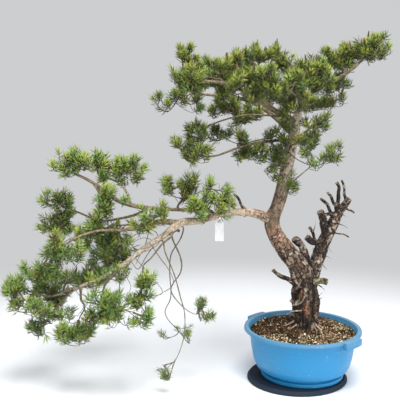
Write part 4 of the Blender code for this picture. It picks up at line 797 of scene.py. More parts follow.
class FoliageSizes(PropertyGroup):
    """How full the foliage is, and the size of a needle."""

    fullness: FloatProperty(name="Fullness", description="How many times as many shoots a tuft carries",
                            default=3.0, min=0.2, max=5.0)
    pairs: IntProperty(name="Needle pairs", description="Pairs of needles on one shoot",
                       default=20, min=8, max=80)
    needle_length: FloatProperty(name="Needle length", description="Length of a full-grown needle",
                                 default=0.0195, min=0.012, max=0.045, unit="LENGTH")
    needle_width: FloatProperty(name="Needle width", description="Width of a needle at its middle",
                                default=0.0018, min=0.0006, max=0.003, unit="LENGTH")
    seed: IntProperty(name="Seed", description="Which of the possible arrangements is grown",
                      default=3, min=0)


class PotFinish(PropertyGroup):
    """Colours of the basin, its worn rim and the turntable."""

    basin: FloatVectorProperty(name="Basin", description="Colour of the basin", subtype="COLOR", size=3,
                               default=(0.006, 0.252, 0.535), min=0.0, max=1.0)
    rim: FloatVectorProperty(name="Worn rim", description="Colour of the basin where it is chalky and worn",
                             subtype="COLOR", size=3, default=(0.098, 0.245, 0.375), min=0.0, max=1.0)
    disc: FloatVectorProperty(name="Turntable", description="Colour of the turntable", subtype="COLOR",
                              size=3, default=(0.006, 0.013, 0.027), min=0.0, max=1.0)


class StageSettings(PropertyGroup):
    """Strengths of the lights and of the pale surroundings."""

    key: FloatProperty(name="Key light", description="Power of the large overhead light",
                       default=124.0, min=0.0)
    fill: FloatProperty(name="Fill light", description="Power of the light to the right of the camera",
                        default=40.0, min=0.0)
    sky: FloatProperty(name="Surroundings", description="Strength of the pale surroundings",
                       default=0.70, min=0.0)


# Colours

def linear(code):
    """A hex colour in sRGB as linear red, green, blue and alpha."""
    parts = [int(code[k:k + 2], 16) / 255 for k in (1, 3, 5)]
    return (*(p / 12.92 if p <= 0.04045 else ((p + 0.055) / 1.055) ** 2.4 for p in parts), 1)


def add_node(tree, kind, settings=None, inputs=None):
    """A node with its settings, and its sockets linked or set."""
    node = tree.nodes.new(kind)
    for name, value in (settings or {}).items():
        setattr(node, name, value)
    for socket, value in (inputs or {}).items():
        if isinstance(value, bpy.types.NodeSocket):
            tree.links.new(value, node.inputs[socket])
        else:
            node.inputs[socket].default_value = value
    return node


def new_finish(name, roughness, ior=1.5):
    """A material with its node tree and its shader, which has nothing linked yet."""
    made = bpy.data.materials.new(name)
    made.use_nodes = True
    shader = made.node_tree.nodes["Principled BSDF"]
    shader.inputs["Roughness"].default_value = roughness
    shader.inputs["IOR"].default_value = ior
    return made, made.node_tree, shader


def ramp(tree, factor, stops):
    """A colour ramp with hex colours at their places."""
    node = add_node(tree, "ShaderNodeValToRGB", inputs={0: factor})
    band = node.color_ramp
    while len(band.elements) < len(stops):
        band.elements.new(0.5)
    for element, (place, code) in zip(band.elements, stops):
        element.position = place
        element.color = linear(code)
    return node.outputs[0]


def blend(tree, factor, a, b, mode="MIX"):
    """Two colours mixed by a factor."""
    settings = {"data_type": "RGBA", "blend_type": mode}
    return add_node(tree, "ShaderNodeMix", settings, {0: factor, 6: a, 7: b}).outputs[2]


def grain(tree, size, detail=3.0, stretch=(1, 1, 1)):
    """Noise in object space whose lumps are about this size in metres."""
    where = add_node(tree, "ShaderNodeTexCoord").outputs["Object"]
    placed = add_node(tree, "ShaderNodeMapping", inputs={"Vector": where, "Scale": stretch}).outputs[0]
    inputs = {"Vector": placed, "Scale": 1 / size, "Detail": detail, "Roughness": 0.6}
    return add_node(tree, "ShaderNodeTexNoise", inputs=inputs).outputs["Fac"]


def stain(tree, colour, code, noise_of, start, full, most):
    """Lays a colour over another in patches, from where the noise starts them to where they are at most."""
    mask = ramp(tree, noise_of, ((start, "#000000"), (full, most)))
    return blend(tree, mask, colour, linear(code))


def height_band(tree, low, high, at_low, at_high):
    """A factor that goes from one value to another between two heights."""
    where = add_node(tree, "ShaderNodeTexCoord").outputs["Object"]
    height = add_node(tree, "ShaderNodeSeparateXYZ", inputs={0: where}).outputs[2]
    limits = {0: height, 1: low, 2: high, 3: at_low, 4: at_high}
    return add_node(tree, "ShaderNodeMapRange", inputs=limits).outputs[0]


def bump(tree, shader, height, depth, strength=1.0):
    """Fine relief of this depth in metres."""
    inputs = {"Height": height, "Distance": depth, "Strength": strength}
    node = add_node(tree, "ShaderNodeBump", inputs=inputs)
    tree.links.new(node.outputs[0], shader.inputs["Normal"])


def face(tree, name):
    """A value that the mesh keeps at each of its points."""
    return add_node(tree, "ShaderNodeAttribute", {"attribute_name": name}).outputs["Fac"]


def patchy_finish(name, roughness, ior, size, detail, stops):
    """A material whose colour drifts between the stops, in patches of about this size."""
    made, tree, shader = new_finish(name, roughness, ior)
    tree.links.new(ramp(tree, grain(tree, size, detail), stops), shader.inputs["Base Color"])
    return made, tree, shader


def plate_bark():
    """Scots pine bark: thick grey-brown plates with dark cracks, flaking to salmon higher up."""
    made, tree, shader = new_finish("plate_bark", 0.88)
    tone, plate = face(tree, "tone"), face(tree, "plate")
    grey = ramp(tree, tone, ((0.0, "#5d4f41"), (0.3, "#84725f"), (0.6, "#ac9a83"), (1.0, "#ded1bb")))
    salmon = ramp(tree, tone, ((0.0, "#75503b"), (0.3, "#9c735b"), (0.6, "#be9780"), (1.0, "#e4c9b2")))
    colour = blend(tree, face(tree, "warm"), grey, salmon)
    dead = ramp(tree, tone, ((0.12, "#261c18"), (0.38, "#4b3b32"), (0.6, "#7a6a5d"), (0.95, "#c0b1a0")))
    colour = blend(tree, face(tree, "dead"), colour, dead)
    cracks = ramp(tree, plate, ((0.0, "#2a211c"), (0.32, "#74685e"), (0.72, "#ffffff")))
    colour = blend(tree, 0.95, colour, cracks, "MULTIPLY")
    # scales of bark about 3 mm across
    scales = ramp(tree, grain(tree, 0.0030, 4), ((0.3, "#9c938b"), (0.62, "#ffffff")))
    colour = blend(tree, 0.8, colour, scales, "MULTIPLY")
    # lichen and algae in patches about 15 mm across
    green = ramp(tree, grain(tree, 0.016, 4), ((0.55, "#000000"), (0.70, "#7f7f7f")))
    alive = ramp(tree, face(tree, "dead"), ((0.1, "#ffffff"), (0.7, "#303030")))
    green = blend(tree, 1.0, green, alive, "MULTIPLY")
    colour = blend(tree, green, colour, linear("#85825e"))
    colour = blend(tree, face(tree, "moss"), colour, ramp(tree, tone, ((0.2, "#37361f"), (0.9, "#8c8862"))))
    heart = ramp(tree, tone, ((0.0, "#5c3524"), (0.5, "#94603f"), (1.0, "#c09670")))
    colour = blend(tree, face(tree, "heart"), colour, heart)
    colour = blend(tree, face(tree, "cut"), colour, linear("#bba68c"))
    tree.links.new(colour, shader.inputs["Base Color"])
    bump(tree, shader, grain(tree, 0.0013, 4), 0.0007, 0.8)
    return made


def twig_bark():
    """Young bark: thin and smooth, tan where it is new and grey-brown where it is older."""
    stops = ((0.25, "#473f32"), (0.5, "#6c614e"), (0.75, "#948870"))
    made, tree, shader = patchy_finish("twig_bark", 0.75, 1.5, 0.012, 3, stops)
    bump(tree, shader, grain(tree, 0.0016, 2), 0.0004, 0.6)
    return made


def needle_skin(name, code):
    """A pine needle: a waxy skin over green, with a soft gloss. Its colour is plain and dealt by spray."""
    made, _tree, shader = new_finish(name, 0.5, 1.40)
    shader.inputs["Base Color"].default_value = linear(code)
    return made


def bud_scales():
    """Papery brown scales over a bud, paler with resin at some."""
    stops = ((0.35, "#3d2b22"), (0.5, "#553d2f"), (0.65, "#6f5642"))
    return patchy_finish("bud_scales", 0.6, 1.5, 0.03, 1, stops)[0]


def moulded_polypropylene(colours):
    """Blue polypropylene, injection moulded: satin, chalky and scuffed where hands and grit rub it."""
    made, tree, shader = new_finish("moulded_polypropylene", 0.38, 1.49)
    # the rim and the wall's top are worn most
    high = height_band(tree, POT_FOOT + 0.130, POT_FOOT + 0.156, 0.0, 0.75)
    patches = ramp(tree, grain(tree, 0.06, 3), ((0.35, "#000000"), (0.75, "#7a7a7a")))
    settings = {"operation": "ADD", "use_clamp": True}
    wear = add_node(tree, "ShaderNodeMath", settings, {0: high, 1: patches}).outputs[0]
    colour = blend(tree, wear, (*colours.basin, 1), (*colours.rim, 1))
    # scuffs are streaks round the wall, about 20 mm long and 4 mm high
    colour = stain(tree, colour, "#a9d4f0", grain(tree, 0.02, 6, (1, 1, 5)), 0.648, 0.71, "#c8c8c8")
    # grime in spots about 9 mm across
    colour = stain(tree, colour, "#5f7f96", grain(tree, 0.009, 5), 0.60, 0.78, "#6a6a6a")
    tree.links.new(colour, shader.inputs["Base Color"])
    limits = {0: grain(tree, 0.03, 4), 1: 0.3, 2: 0.7, 3: 0.30, 4: 0.52}
    rough = add_node(tree, "ShaderNodeMapRange", inputs=limits).outputs[0]
    tree.links.new(rough, shader.inputs["Roughness"])
    bump(tree, shader, grain(tree, 0.004, 3), 0.0003, 0.25)
    return made


def dusty_abs(colours):
    """Black ABS with a fine spark texture, and dust that lies on it in a thin film."""
    made, tree, shader = new_finish("dusty_abs", 0.75, 1.3)
    colour = stain(tree, (*colours.disc, 1), "#4d5866", grain(tree, 0.035, 5), 0.45, 0.8, "#1c1c1c")
    # specks of grit about 3 mm across
    colour = stain(tree, colour, "#8f8a80", grain(tree, 0.0035, 2), 0.68, 0.74, "#8a8a8a")
    # the sloping edge is lighter grey: a painted highlight along it
    edge = height_band(tree, DISC_HEIGHT - 0.0014, DISC_HEIGHT - 0.0004, 0.14, 0.0)
    colour = blend(tree, edge, colour, linear("#5b6670"))
    tree.links.new(colour, shader.inputs["Base Color"])
    bump(tree, shader, grain(tree, 0.0012, 2), 0.0002, 0.4)
    return made


def stone_grain(name, code, dark):
    """One colour of the gritty soil: pumice, loam or bark, rough and dry."""
    return patchy_finish(name, 0.95, 1.3, 0.004, 3, ((0.3, dark), (0.65, code)))[0]


def polystyrene_strip():
    """White polystyrene sheet, die-cut: smooth and faintly soiled."""
    return patchy_finish("polystyrene_strip", 0.45, 1.55, 0.015, 4, ((0.30, "#e6e6e4"), (0.6, "#f4f5f5")))[0]


# Meshes

def keep(obj, name, finish, nodes=(), smooth=None):
    """Names a finished piece, gives it its finish, hangs it on the root body and hides the solids that it
    stands for.
    """
    obj.name = name
    obj.data.name = name
    obj.data.materials.clear()
    obj.data.materials.append(finish)
    if smooth is not None:
        obj.data.shade_smooth()
        obj.data.set_sharp_from_angle(angle=math.radians(smooth))
    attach(obj, "root")
    if nodes:
        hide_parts(*nodes)
    return obj


def select_only(*objs):
    """Selects these objects alone, with the first one active."""
    bpy.ops.object.select_all(action="DESELECT")
    for obj in objs:
        obj.select_set(True)
    bpy.context.view_layer.objects.active = objs[0]


def settle(obj):
    """Puts the object's place, turn and scale into its mesh."""
    select_only(obj)
    bpy.ops.object.transform_apply(location=True, rotation=True, scale=True)


def apply_modifier(obj, kind, **settings):
    """Adds a modifier with these settings and applies it."""
    select_only(obj)
    made = obj.modifiers.new(kind.lower(), kind)
    for name, value in settings.items():
        setattr(made, name, value)
    bpy.ops.object.modifier_apply(modifier=made.name)


def from_lists(name, points, faces):
    """An object from lists of points and faces."""
    mesh = bpy.data.meshes.new(name)
    mesh.from_pydata(points, [], faces)
    obj = bpy.data.objects.new(name, mesh)
    bpy.context.scene.collection.objects.link(obj)
    return obj


def clamp(value):
    """A value held between nought and one."""
    return min(1.0, max(0.0, value))


def smooth_step(value, low, high):
    """Nought up to the low value and one from the high value on, with a soft rise between them."""
    share = clamp((value - low) / (high - low))
    return share * share * (3 - 2 * share)


def bell(*offs):
    """One where all offsets are nought, falling off on every side."""
    return math.exp(-sum(off**2 for off in offs))


def spline_point(points, t):
    """The point, or number, at share t of a smooth line through the points."""
    span = t * (len(points) - 1)
    i = min(int(span), len(points) - 2)
    u = span - i
    a, b = points[i], points[i + 1]
    before = points[i - 1] if i else a + (a - b)
    after = points[i + 2] if i + 2 < len(points) else b + (b - a)
    return (
        a * (1 - 3 * u * u + 2 * u**3) + b * (3 * u * u - 2 * u**3)
        + (b - before) * 0.5 * (u - 2 * u * u + u**3) + (after - a) * 0.5 * (u**3 - u * u)
    )


def smooth_line(points, count):
    """This many places along a smooth line through the points."""
    points = [Vector(p) for p in points]
    return [spline_point(points, k / (count - 1)) for k in range(count)]


def taper(radii, count):
    """This many radii: a plain taper between two, or a smooth run through more."""
    if len(radii) == 2:
        return [radii[0] + (radii[1] - radii[0]) * k / (count - 1) for k in range(count)]
    return [spline_point(radii, k / (count - 1)) for k in range(count)]


def limb_line(name):
    """A limb's places and radii, ring by ring."""
    limb = LIMBS[name]
    return smooth_line(limb["line"], limb["rings"]), taper(limb["radii"], limb["rings"])


def line_length(line):
    """How long a line of places is."""
    return sum((b - a).length for a, b in zip(line, line[1:]))


def fine_line(points, radii, spacing):
    """The same limb with its points this far apart."""
    count = max(4, round(line_length(smooth_line(points, 40)) / spacing) + 1)
    return smooth_line(points, count), taper(radii, count)


def directions(line):
    """The way that a line runs at each of its places."""
    found = []
    for k in range(len(line)):
        ahead, behind = line[min(k + 1, len(line) - 1)], line[max(k - 1, 0)]
        found.append((ahead - behind).normalized())
    return found


def side_ways(line):
    """Two directions across the line at each point, carried along it without twisting."""
    ways = directions(line)
    across = ways[0].orthogonal().normalized()
    frames = []
    for way in ways:
        across = (across - way * across.dot(way)).normalized()
        frames.append((across.copy(), way.cross(across)))
    return frames


# Wood

def limb_curve(name, line, radii):
    """A limb as a curve with a round bevel, made a mesh."""
    data = bpy.data.curves.new(name, "CURVE")
    data.dimensions = "3D"
    data.bevel_depth = 1.0
    data.bevel_resolution = 5
    data.use_fill_caps = True
    spline = data.splines.new("POLY")
    spline.points.add(len(line) - 1)
    for point, place, radius in zip(spline.points, line, radii):
        point.co = (*place, 1)
        point.radius = radius
    obj = bpy.data.objects.new(name, data)
    bpy.context.scene.collection.objects.link(obj)
    select_only(obj)
    bpy.ops.object.convert(target="MESH")
    return bpy.context.object


class Sample(NamedTuple):
    """A place in a limb's heart, with the limb's frame and radius there, and how far along it is."""

    centre: Vector
    way: Vector
    across: Vector
    up: Vector
    radius: float
    along: float
    limb: str
    share: float


def tree_of(samples):
    """A search tree over the places of the samples."""
    tree = KDTree(len(samples))
    for k, sample in enumerate(samples):
        tree.insert(sample.centre, k)
    tree.balance()
    return tree


class Guide:
    """Where a point lies on the limbs. Thick limbs have a search tree each, and the thin ones share one."""

    def __init__(self, runs):
        self.samples = []
        for name, points, radii in runs:
            line, thick = fine_line(points, radii, SAMPLE_SPACING)
            along = 0.0
            for k, (centre, way, (across, up)) in enumerate(zip(line, directions(line), side_ways(line))):
                along += (centre - line[k - 1]).length if k else 0.0
                share = k / (len(line) - 1)
                if not self.hidden(centre, thick[k], name):
                    self.samples.append(Sample(centre, way, across, up, thick[k], along, name, share))
        thick_runs = [name for name, _points, radii in runs if max(radii) > THICK_LIMB]
        groups = {name: [] for name in (*thick_runs, "thin")}
        for sample in self.samples:
            groups[sample.limb if sample.limb in thick_runs else "thin"].append(sample)
        self.trees = [(tree_of(group), group) for group in groups.values() if group]

    def hidden(self, centre, radius, name):
        """Whether a limb's heart still lies inside the limb that it grows from."""
        return any(
            (centre - other.centre).length < other.radius - radius * 0.35
            for other in self.samples if other.limb != name and other.radius > radius
        )

    def near(self, place):
        """The nearest sample of each tree, one after another."""
        return (group[tree.find(place)[1]] for tree, group in self.trees)

    def at(self, place):
        """The sample whose surface is nearest."""
        return min(self.near(place), key=lambda sample: abs((place - sample.centre).length - sample.radius))

    def inside(self, place, margin):
        """Whether a place lies in a limb, or nearer to its surface than the margin."""
        return any((place - sample.centre).length < sample.radius + margin for sample in self.near(place))


def is_stub(name):
    """Whether a run of wood is a stub or a dry twig."""
    return name.startswith("stub")


def stub_line(number, root, tip):
    """The line of a stub, which bows a little. Some on the dead trunk have a knee too."""
    root, tip = Vector(root), Vector(tip)
    bow = (tip - root).orthogonal().normalized() * (tip - root).length * STUB_BOW
    knee = Vector((STUB_KNEE * KNEE_SHARES.get(number, 0), 0, 0))
    return [root, root.lerp(tip, 0.36) - bow + knee, root.lerp(tip, 0.68) + bow + knee, tip]


def limb_runs(names):
    """Name, line and radii of each of these limbs and of the stubs that stand on them."""
    runs = []
    for name in names:
        points = [Vector(p) for p in LIMBS[name]["line"]]
        if LIMBS[name]["on"] and LIMBS[name]["on"].endswith(" tip"):
            points[0] = points[0] - (points[1] - points[0]).normalized() * TIP_SINK
        runs.append((name, points, LIMBS[name]["radii"]))
    for number, (owner, root, tip, thick, thin) in enumerate(STUBS):
        if owner in names:
            radii = (thick, (thick + thin) / 2, (thick + thin) / 2.2, thin)
            runs.append((f"stub_{number}", stub_line(number, root, tip), radii))
    return runs


def trunk_runs():
    """Runs of the trunk, its surface roots, the dead trunk and the left bough, with their dry twigs."""
    runs = limb_runs(OLD_LIMBS)
    name, heart, _radii = runs[0]
    heart[0] = heart[0] - Vector((0, 0, FOOT_SINK))
    runs[0] = (name, heart, (*FOOT_RADII, *TRUNK_RADII[2:]))
    for number, (line, radii) in enumerate(SURFACE_ROOTS):
        runs.append((f"root_{number}", [Vector(p) for p in line], radii))
    for number, (root, tip, thick) in enumerate(DRY_TWIGS):
        root, tip = Vector(root), Vector(tip)
        bow = (tip - root).orthogonal() * DRY_TWIG_BOW
        radii = (thick * 1.1, thick * 0.9, DRY_TWIG_TIP)
        runs.append((f"stub_dry_{number}", [root, (root + tip) / 2 + bow, tip], radii))
    return runs


def bark_mix(name, share, place):
    """How salmon, how dead and how mossy the bark is at a place on a limb, and how much paler than usual,
    which on the upper trunk is partly painted light.
    """
    patch = noise.noise(place * 30) + 0.5 * noise.noise(place * 75)
    if name == "trunk":
        fork = bell((place.z - FORK_HEIGHT) / FORK_SPREAD)
        old = 1 - smooth_step(place.z, *OLD_BARK_ENDS)
        warm = 0.06 + 0.28 * fork + 0.75 * patch + 0.10 * old
        moss = 0.25 * smooth_step(patch, 0.15, 0.5) * old
        # the paleness high on the trunk is partly painted light where the crown shades it
        return warm, 0.80 * old, moss, 0.84 * smooth_step(place.z, *PALE_AND_LIT_BARK_STARTS) - 0.30 + 0.14 * fork
    if name == "left_bough":
        warm = 0.34 - 0.38 * smooth_step(share, 0.40, 0.6) + 0.5 * patch
        return warm, 0.0, 0.0, 0.34 * smooth_step(share, *BOUGH_BARK_STARTS)
    if name == "dead_trunk":
        return 0.15 + 0.7 * patch, 0.95 + 0.4 * patch, 0.1 * smooth_step(patch, 0.1, 0.4), 0.7 * patch - 0.04
    if name == MOSSY_STUB:
        return 0.0, 0.6, 0.70 + 0.6 * patch, 0.5 * patch
    if is_stub(name):
        return 0.1 + 0.4 * patch, 1.0, 0.0, 0.7 * patch - 0.10
    if name.startswith("root"):
        return 0.5 + 0.5 * patch, 0.0, 0.0, 0.16
    if name.startswith("left"):
        return 0.5 * patch, 0.0, 0.15, 0.0
    return 0.5 * patch, 0.0, 0.45, -0.12


def bark_relief(spot, broken):
    """Plates with cracks between them: height of the plate, tone, and the finer flakes on it."""
    spot = spot + noise.noise_vector(spot * 0.7) * 0.6 + noise.noise_vector(spot * 2.3) * 0.22
    apart, points = noise.voronoi(spot)
    wide = 0.16 + 0.14 * broken + 0.22 * noise.noise(spot * 0.9)
    plate = smooth_step(apart[1] - apart[0], 0.0, max(0.05, wide))
    healed = smooth_step(noise.noise(spot * 0.8 + Vector((3, 5, 7))), 0.15, 0.45)
    plate = max(plate, healed * 0.9 * (1 - broken))
    tone = 0.5 + (0.75 + 0.5 * broken) * noise.noise(points[0] * 3.1)
    apart, points = noise.voronoi(spot * 2.4)
    flake = smooth_step(apart[1] - apart[0], 0.0, 0.22)
    return plate, clamp(tone + 0.45 * noise.noise(points[0] * 5.7)), flake


def foot_folds(place):
    """Upright folds of the trunk's foot: how far they stand out, and how deep the grooves between are."""
    turn = math.atan2(place.y, place.x - FOOT_MIDDLE)
    low = 1 - smooth_step(place.z, *FOLDS_END)
    ridge = noise.noise(Vector((math.cos(turn) * 2.6, math.sin(turn) * 2.6, place.z * 6)))
    fine = noise.noise(Vector((math.cos(turn) * 6.5, math.sin(turn) * 6.5, place.z * 11 + 4)))
    groove = low * smooth_step(-ridge - 0.6 * fine, 0.02, 0.38)
    return low * (FOLD_RISE * ridge + FINE_FOLD_RISE * fine), groove


def trunk_foot(place):
    """The trunk's foot with its hollow scar, healed lip, knob and bare strip: rise, groove (which also
    carries painted shade in the hollow), red and pale.
    """
    rise, groove = foot_folds(place)
    if place.y > SCAR_BACK:
        return rise, groove, 0.0, 0.0
    x, z = place.x, place.z
    across = (x - SCAR_X - SCAR_SLANT * (z - SCAR_Z)) / SCAR_HALF_WIDTH
    off = Vector((across, (z - SCAR_Z) / SCAR_HALF_HEIGHT))
    scar = 1 - smooth_step(off.length, 0.72, 1.0)
    right = smooth_step(off.x, -0.35, 0.25)
    rim = bell((off.length - 1.10) / 0.15) * (0.35 + 0.65 * smooth_step(off.x - off.y, -0.4, 0.7))
    knob = bell((x - KNOB_X) / KNOB_HALF_WIDTH, (z - KNOB_Z) / KNOB_HALF_HEIGHT)
    aside = (x - STRIP_X + STRIP_SLANT * (z - STRIP_Z)) / STRIP_HALF_WIDTH
    strip = bell((z - STRIP_Z) / STRIP_HALF_HEIGHT, aside)
    red = strip + scar * right * smooth_step(z, 0.270, 0.292) * (0.8 + 1.4 * noise.noise(place * 210))
    # painted shade: the hollow is darker inside, most on its left
    deep = scar * (1 - 0.8 * right)
    pale = 0.75 * rim + knob + 0.35 * scar * right
    rise = rise * (1 - scar) - SCAR_DEPTH * scar + LIP_RISE * rim + KNOB_RISE * knob
    return rise, max(groove * (1 - rim) * (1 - 0.8 * strip), 0.8 * deep), red, pale


def unrolled(near, off, plate_size):
    """A place on a limb's bark, unrolled along the limb and counted in plates."""
    old = smooth_step(near.radius, *OLD_RADII)
    size = plate_size * (0.45 + 0.55 * old) if near.limb in LEADERS else plate_size * 0.55
    length = near.along + off.dot(near.way)
    spot = Vector((off.dot(near.across), off.dot(near.up), length * PLATE_SHAPE)) / size
    spot.z += 7.3 * len(near.limb)
    return spot


def breaking(name, height):
    """How broken up the plates are: on dead wood, and on the trunk between its foot and the fork."""
    if name == "trunk":
        return smooth_step(height, *PLATES_BREAK) * (1 - smooth_step(height, *PLATES_HEAL))
    return 0.7 if name == "dead_trunk" or is_stub(name) else 0.0


def softened(plate, tone, near, height):
    """Plates and tones as young bark shows them, which is fainter than on old bark."""
    if near.limb == "dead_trunk" or is_stub(near.limb):
        return plate, tone
    if near.limb == "trunk":
        young = smooth_step(height, *YOUNG_BARK_STARTS) * (1 - 0.6 * smooth_step(height, *YOUNG_BARK_ENDS))
        return plate + 0.42 * young * (1 - plate), tone - 0.20 * young * (tone - 0.5)
    young = smooth_step(near.share, *BOUGH_BARK_STARTS) if near.limb == "left_bough" else 1.0
    return plate + 0.40 * young * (1 - plate), tone - 0.25 * young * (tone - 0.5)


def is_cut(near, out):
    """Whether a place lies on the end of a stub or of the dead trunk."""
    if is_stub(near.limb):
        return near.share > 0.97 and abs(out.dot(near.way)) > 0.75
    return near.limb == "dead_trunk" and near.share > 0.985 and out.dot(near.way) > 0.7


def relief_depth(near, rough, depth):
    """How deep the cracks go: less on a thin limb, and more in dead wood."""
    if is_stub(near.limb):
        return min(STUB_RELIEF, near.radius * 0.20)
    thick = smooth_step(near.radius, *OLD_RADII) > 0.3
    return min(depth * (1 + 0.5 * rough), near.radius * (0.08 if thick else 0.06))


def bark_at(place, out, near, plate_size, depth):
    """How far the bark stands out at a place, and the values that its material reads there."""
    spot = unrolled(near, place - near.centre, plate_size)
    plate, tone, flake = bark_relief(spot, breaking(near.limb, place.z))
    warm, dead, moss, pale = bark_mix(near.limb, near.share, place)
    rough = clamp(dead)
    lump = noise.noise(spot * 0.35) * (0.7 + 1.2 * rough) + noise.noise(spot * 1.1) * 0.5 * rough
    rise = relief_depth(near, rough, depth) * (0.85 * plate + 0.30 * flake + 0.35 * tone + lump - 1.0)
    groove = red = 0.0
    if near.limb == "trunk" and place.z < FOLDS_END[1]:
        foot, groove, red, rim = trunk_foot(place)
        rise += foot
        warm, dead, pale = warm + 1.6 * red, dead - 0.85 * red - 0.4 * rim, pale + rim + 0.1 * red + 0.06
    # the foot's grooves darken the bark, and so does the painted shade in the scar's hollow
    plate, tone = softened(plate * (0.62 + 0.38 * flake) * (1 - 0.60 * groove), tone, near, place.z)
    tone = tone * (1 - 0.35 * groove) + pale
    cut = 0.5 if is_cut(near, out) else 0.0
    return rise, [clamp(value) for value in (plate, tone, warm, dead, moss, cut, 0.75 * red)]


def carve_bark(obj, guide, plate_size, depth):
    """Presses cracks between plates into the mesh, and keeps what the bark's material reads at each point."""
    places, rows = [], []
    for vertex in obj.data.vertices:
        place, out = vertex.co.copy(), vertex.normal.copy()
        rise, found = bark_at(place, out, guide.at(place), plate_size, depth)
        places.append(place + out * rise)
        rows.append(found)
    obj.data.vertices.foreach_set("co", [c for place in places for c in place])
    for key, values in zip(BARK_VALUES, zip(*rows)):
        obj.data.attributes.new(key, "FLOAT", "POINT").data.foreach_set("value", values)
    obj.data.update()


def grow_wood(name, runs, mesh_grain, plate_size, depth):
    """Joins limbs into one skin, rounds their crotches and gives it bark."""
    tubes = []
    for number, (_limb, points, radii) in enumerate(runs):
        line, thick = fine_line(points, radii, TUBE_SPACING)
        tubes.append(limb_curve(f"limb_{number}", line, thick))
    select_only(*tubes)
    bpy.ops.object.join()
    obj = bpy.context.object
    apply_modifier(obj, "REMESH", mode="VOXEL", voxel_size=mesh_grain, adaptivity=0.0)
    apply_modifier(obj, "SMOOTH", factor=0.5, iterations=4)
    carve_bark(obj, Guide(runs), plate_size, depth)
    obj.name = name
    return obj


# Twigs, by the rule of the solids

def lobe_tip(rng, middle, half, others):
    """A place for one more shoot in a lobe, as far as it can be from the others and more often high up."""
    best, best_room = None, -1.0
    for _try in range(TIP_TRIES):
        while True:
            p = Vector(rng.gauss(0, 0.72) for _k in range(3))
            p.z = p.z * 0.9 + 0.1
            if p.length < 1.3:
                break
        spot = middle + Vector(max(0.4 * h, h - INSET) * c for h, c in zip(half, p))
        room = min(((spot - other).length for other in others), default=1.0)
        if room > best_room:
            best, best_room = spot, room
    return best


class Twig:
    """One twig: its line, the twig that it leaves, and how many shoots it carries."""

    def __init__(self, line, parent):
        self.line = line
        self.parent = parent
        self.load = 1


class Wood:
    """The places of one mass where a new twig can leave."""

    def __init__(self):
        self.joints = []

    def add(self, twig, first, last):
        """Adds the joints of a twig, between these shares of its length."""
        line = twig.line
        count = max(1, round(line_length(line) * (last - first) / JOINT_SPACING))
        for k in range(count):
            span = (first + (last - first) * (k + 0.5) / count) * (len(line) - 1)
            i = min(int(span), len(line) - 2)
            way = (line[i + 1] - line[i]).normalized()
            self.joints.append((line[i].lerp(line[i + 1], span - i), way, twig))

    def nearest(self, tip, shortest):
        """The joint that is nearest the tip, where one that lies behind it counts as nearer."""

        def cost(joint):
            off = tip - joint[0]
            cramped = 1.0 if off.length < shortest else 0.0
            return off.length * (1.35 - 0.35 * joint[1].dot(off.normalized())) + cramped

        return min(self.joints, key=cost)


class Shoot(NamedTuple):
    """A shoot: where it starts, its way and length, how high it stands in its lobe, and its mass."""

    foot: Vector
    way: Vector
    length: float
    high: float
    mass: str


def stem_start(mass):
    """Where a mass's stem starts: a place inside its limb, and one just out of it."""
    line, radii = limb_line(mass["on"])
    if mass["at"] >= 1:
        way = (line[-1] - line[-2]).normalized()
        return [line[-1] - way * TIP_SINK, line[-1] + way * STEM_OUT]
    heart, radius = spline_point(line, mass["at"]), spline_point(radii, mass["at"])
    along = (spline_point(line, min(1, mass["at"] + 0.02)) - heart).normalized()
    out = Vector(mass["via"][0] if "via" in mass else mass["lobes"][0][0]) - heart
    out = (out - along * out.dot(along)).normalized()
    return [heart + out * radius * 0.4, heart + out * (radius + STEM_OUT)]


def stem_of(name):
    """The line of a mass's stem, from inside its limb to its lobes, and the share of it before they begin."""
    mass = MASSES[name]
    points = stem_start(mass)
    points += [Vector(p) for p in mass.get("via", ())]
    for middle, half, _count in mass["lobes"]:
        middle = Vector(middle)
        points.append(middle - (middle - points[-1]).normalized() * half[0] * 0.2)
    lead = (len(points) - 1 - len(mass["lobes"])) / (len(points) - 1)
    return smooth_line(points, 8 * (len(points) - 1) + 1), lead


def twig_line(start, way, end, shoot_way):
    """A twig leaves along its parent's line and turns to the way of its shoot."""
    span = (end - start).length
    near = start + way * span * 0.25
    far = end - shoot_way * span * 0.3
    steps = max(3, round(span / TWIG_STEP))
    line = []
    for k in range(steps + 1):
        u = k / steps
        v = 1 - u
        line.append(start * v**3 + near * 3 * u * v * v + far * 3 * u * u * v + end * u**3)
    return line


def within_reach(tip, way):
    """Whether a shoot's needles stay inside the box of the solids."""
    far = tip + way * NEEDLES_AHEAD
    return all(low + BOX_MARGIN < c < high - BOX_MARGIN for c, low, high in zip(far, CAD_LOW, CAD_HIGH))


def tufts_of(name, fullness):
    """The tufts of a mass as lobes, each at the depth of the lobe that it is nearest."""
    hanging, crown = name.startswith("hanging"), name.startswith("crown")
    shoots = TUFT_SHOOTS * fullness * (HANGING_SHARE if hanging else CROWN_SHARE if crown else 1)
    depth = HANGING_DEPTH if hanging else TUFT_DEPTH
    middles = [lobe[0] for lobe in MASSES[name]["lobes"]]
    tufts = []
    for across, up, size in TUFTS[name]:
        x, z = across / 100, up / 100 - TUFT_SINK
        middle = min(middles, key=lambda m: math.hypot(m[0] - x, m[2] - z))
        tufts.append(((x, middle[1], z), (TUFT_HALF * size, depth, TUFT_HALF * size), shoots * size**2))
    return tufts


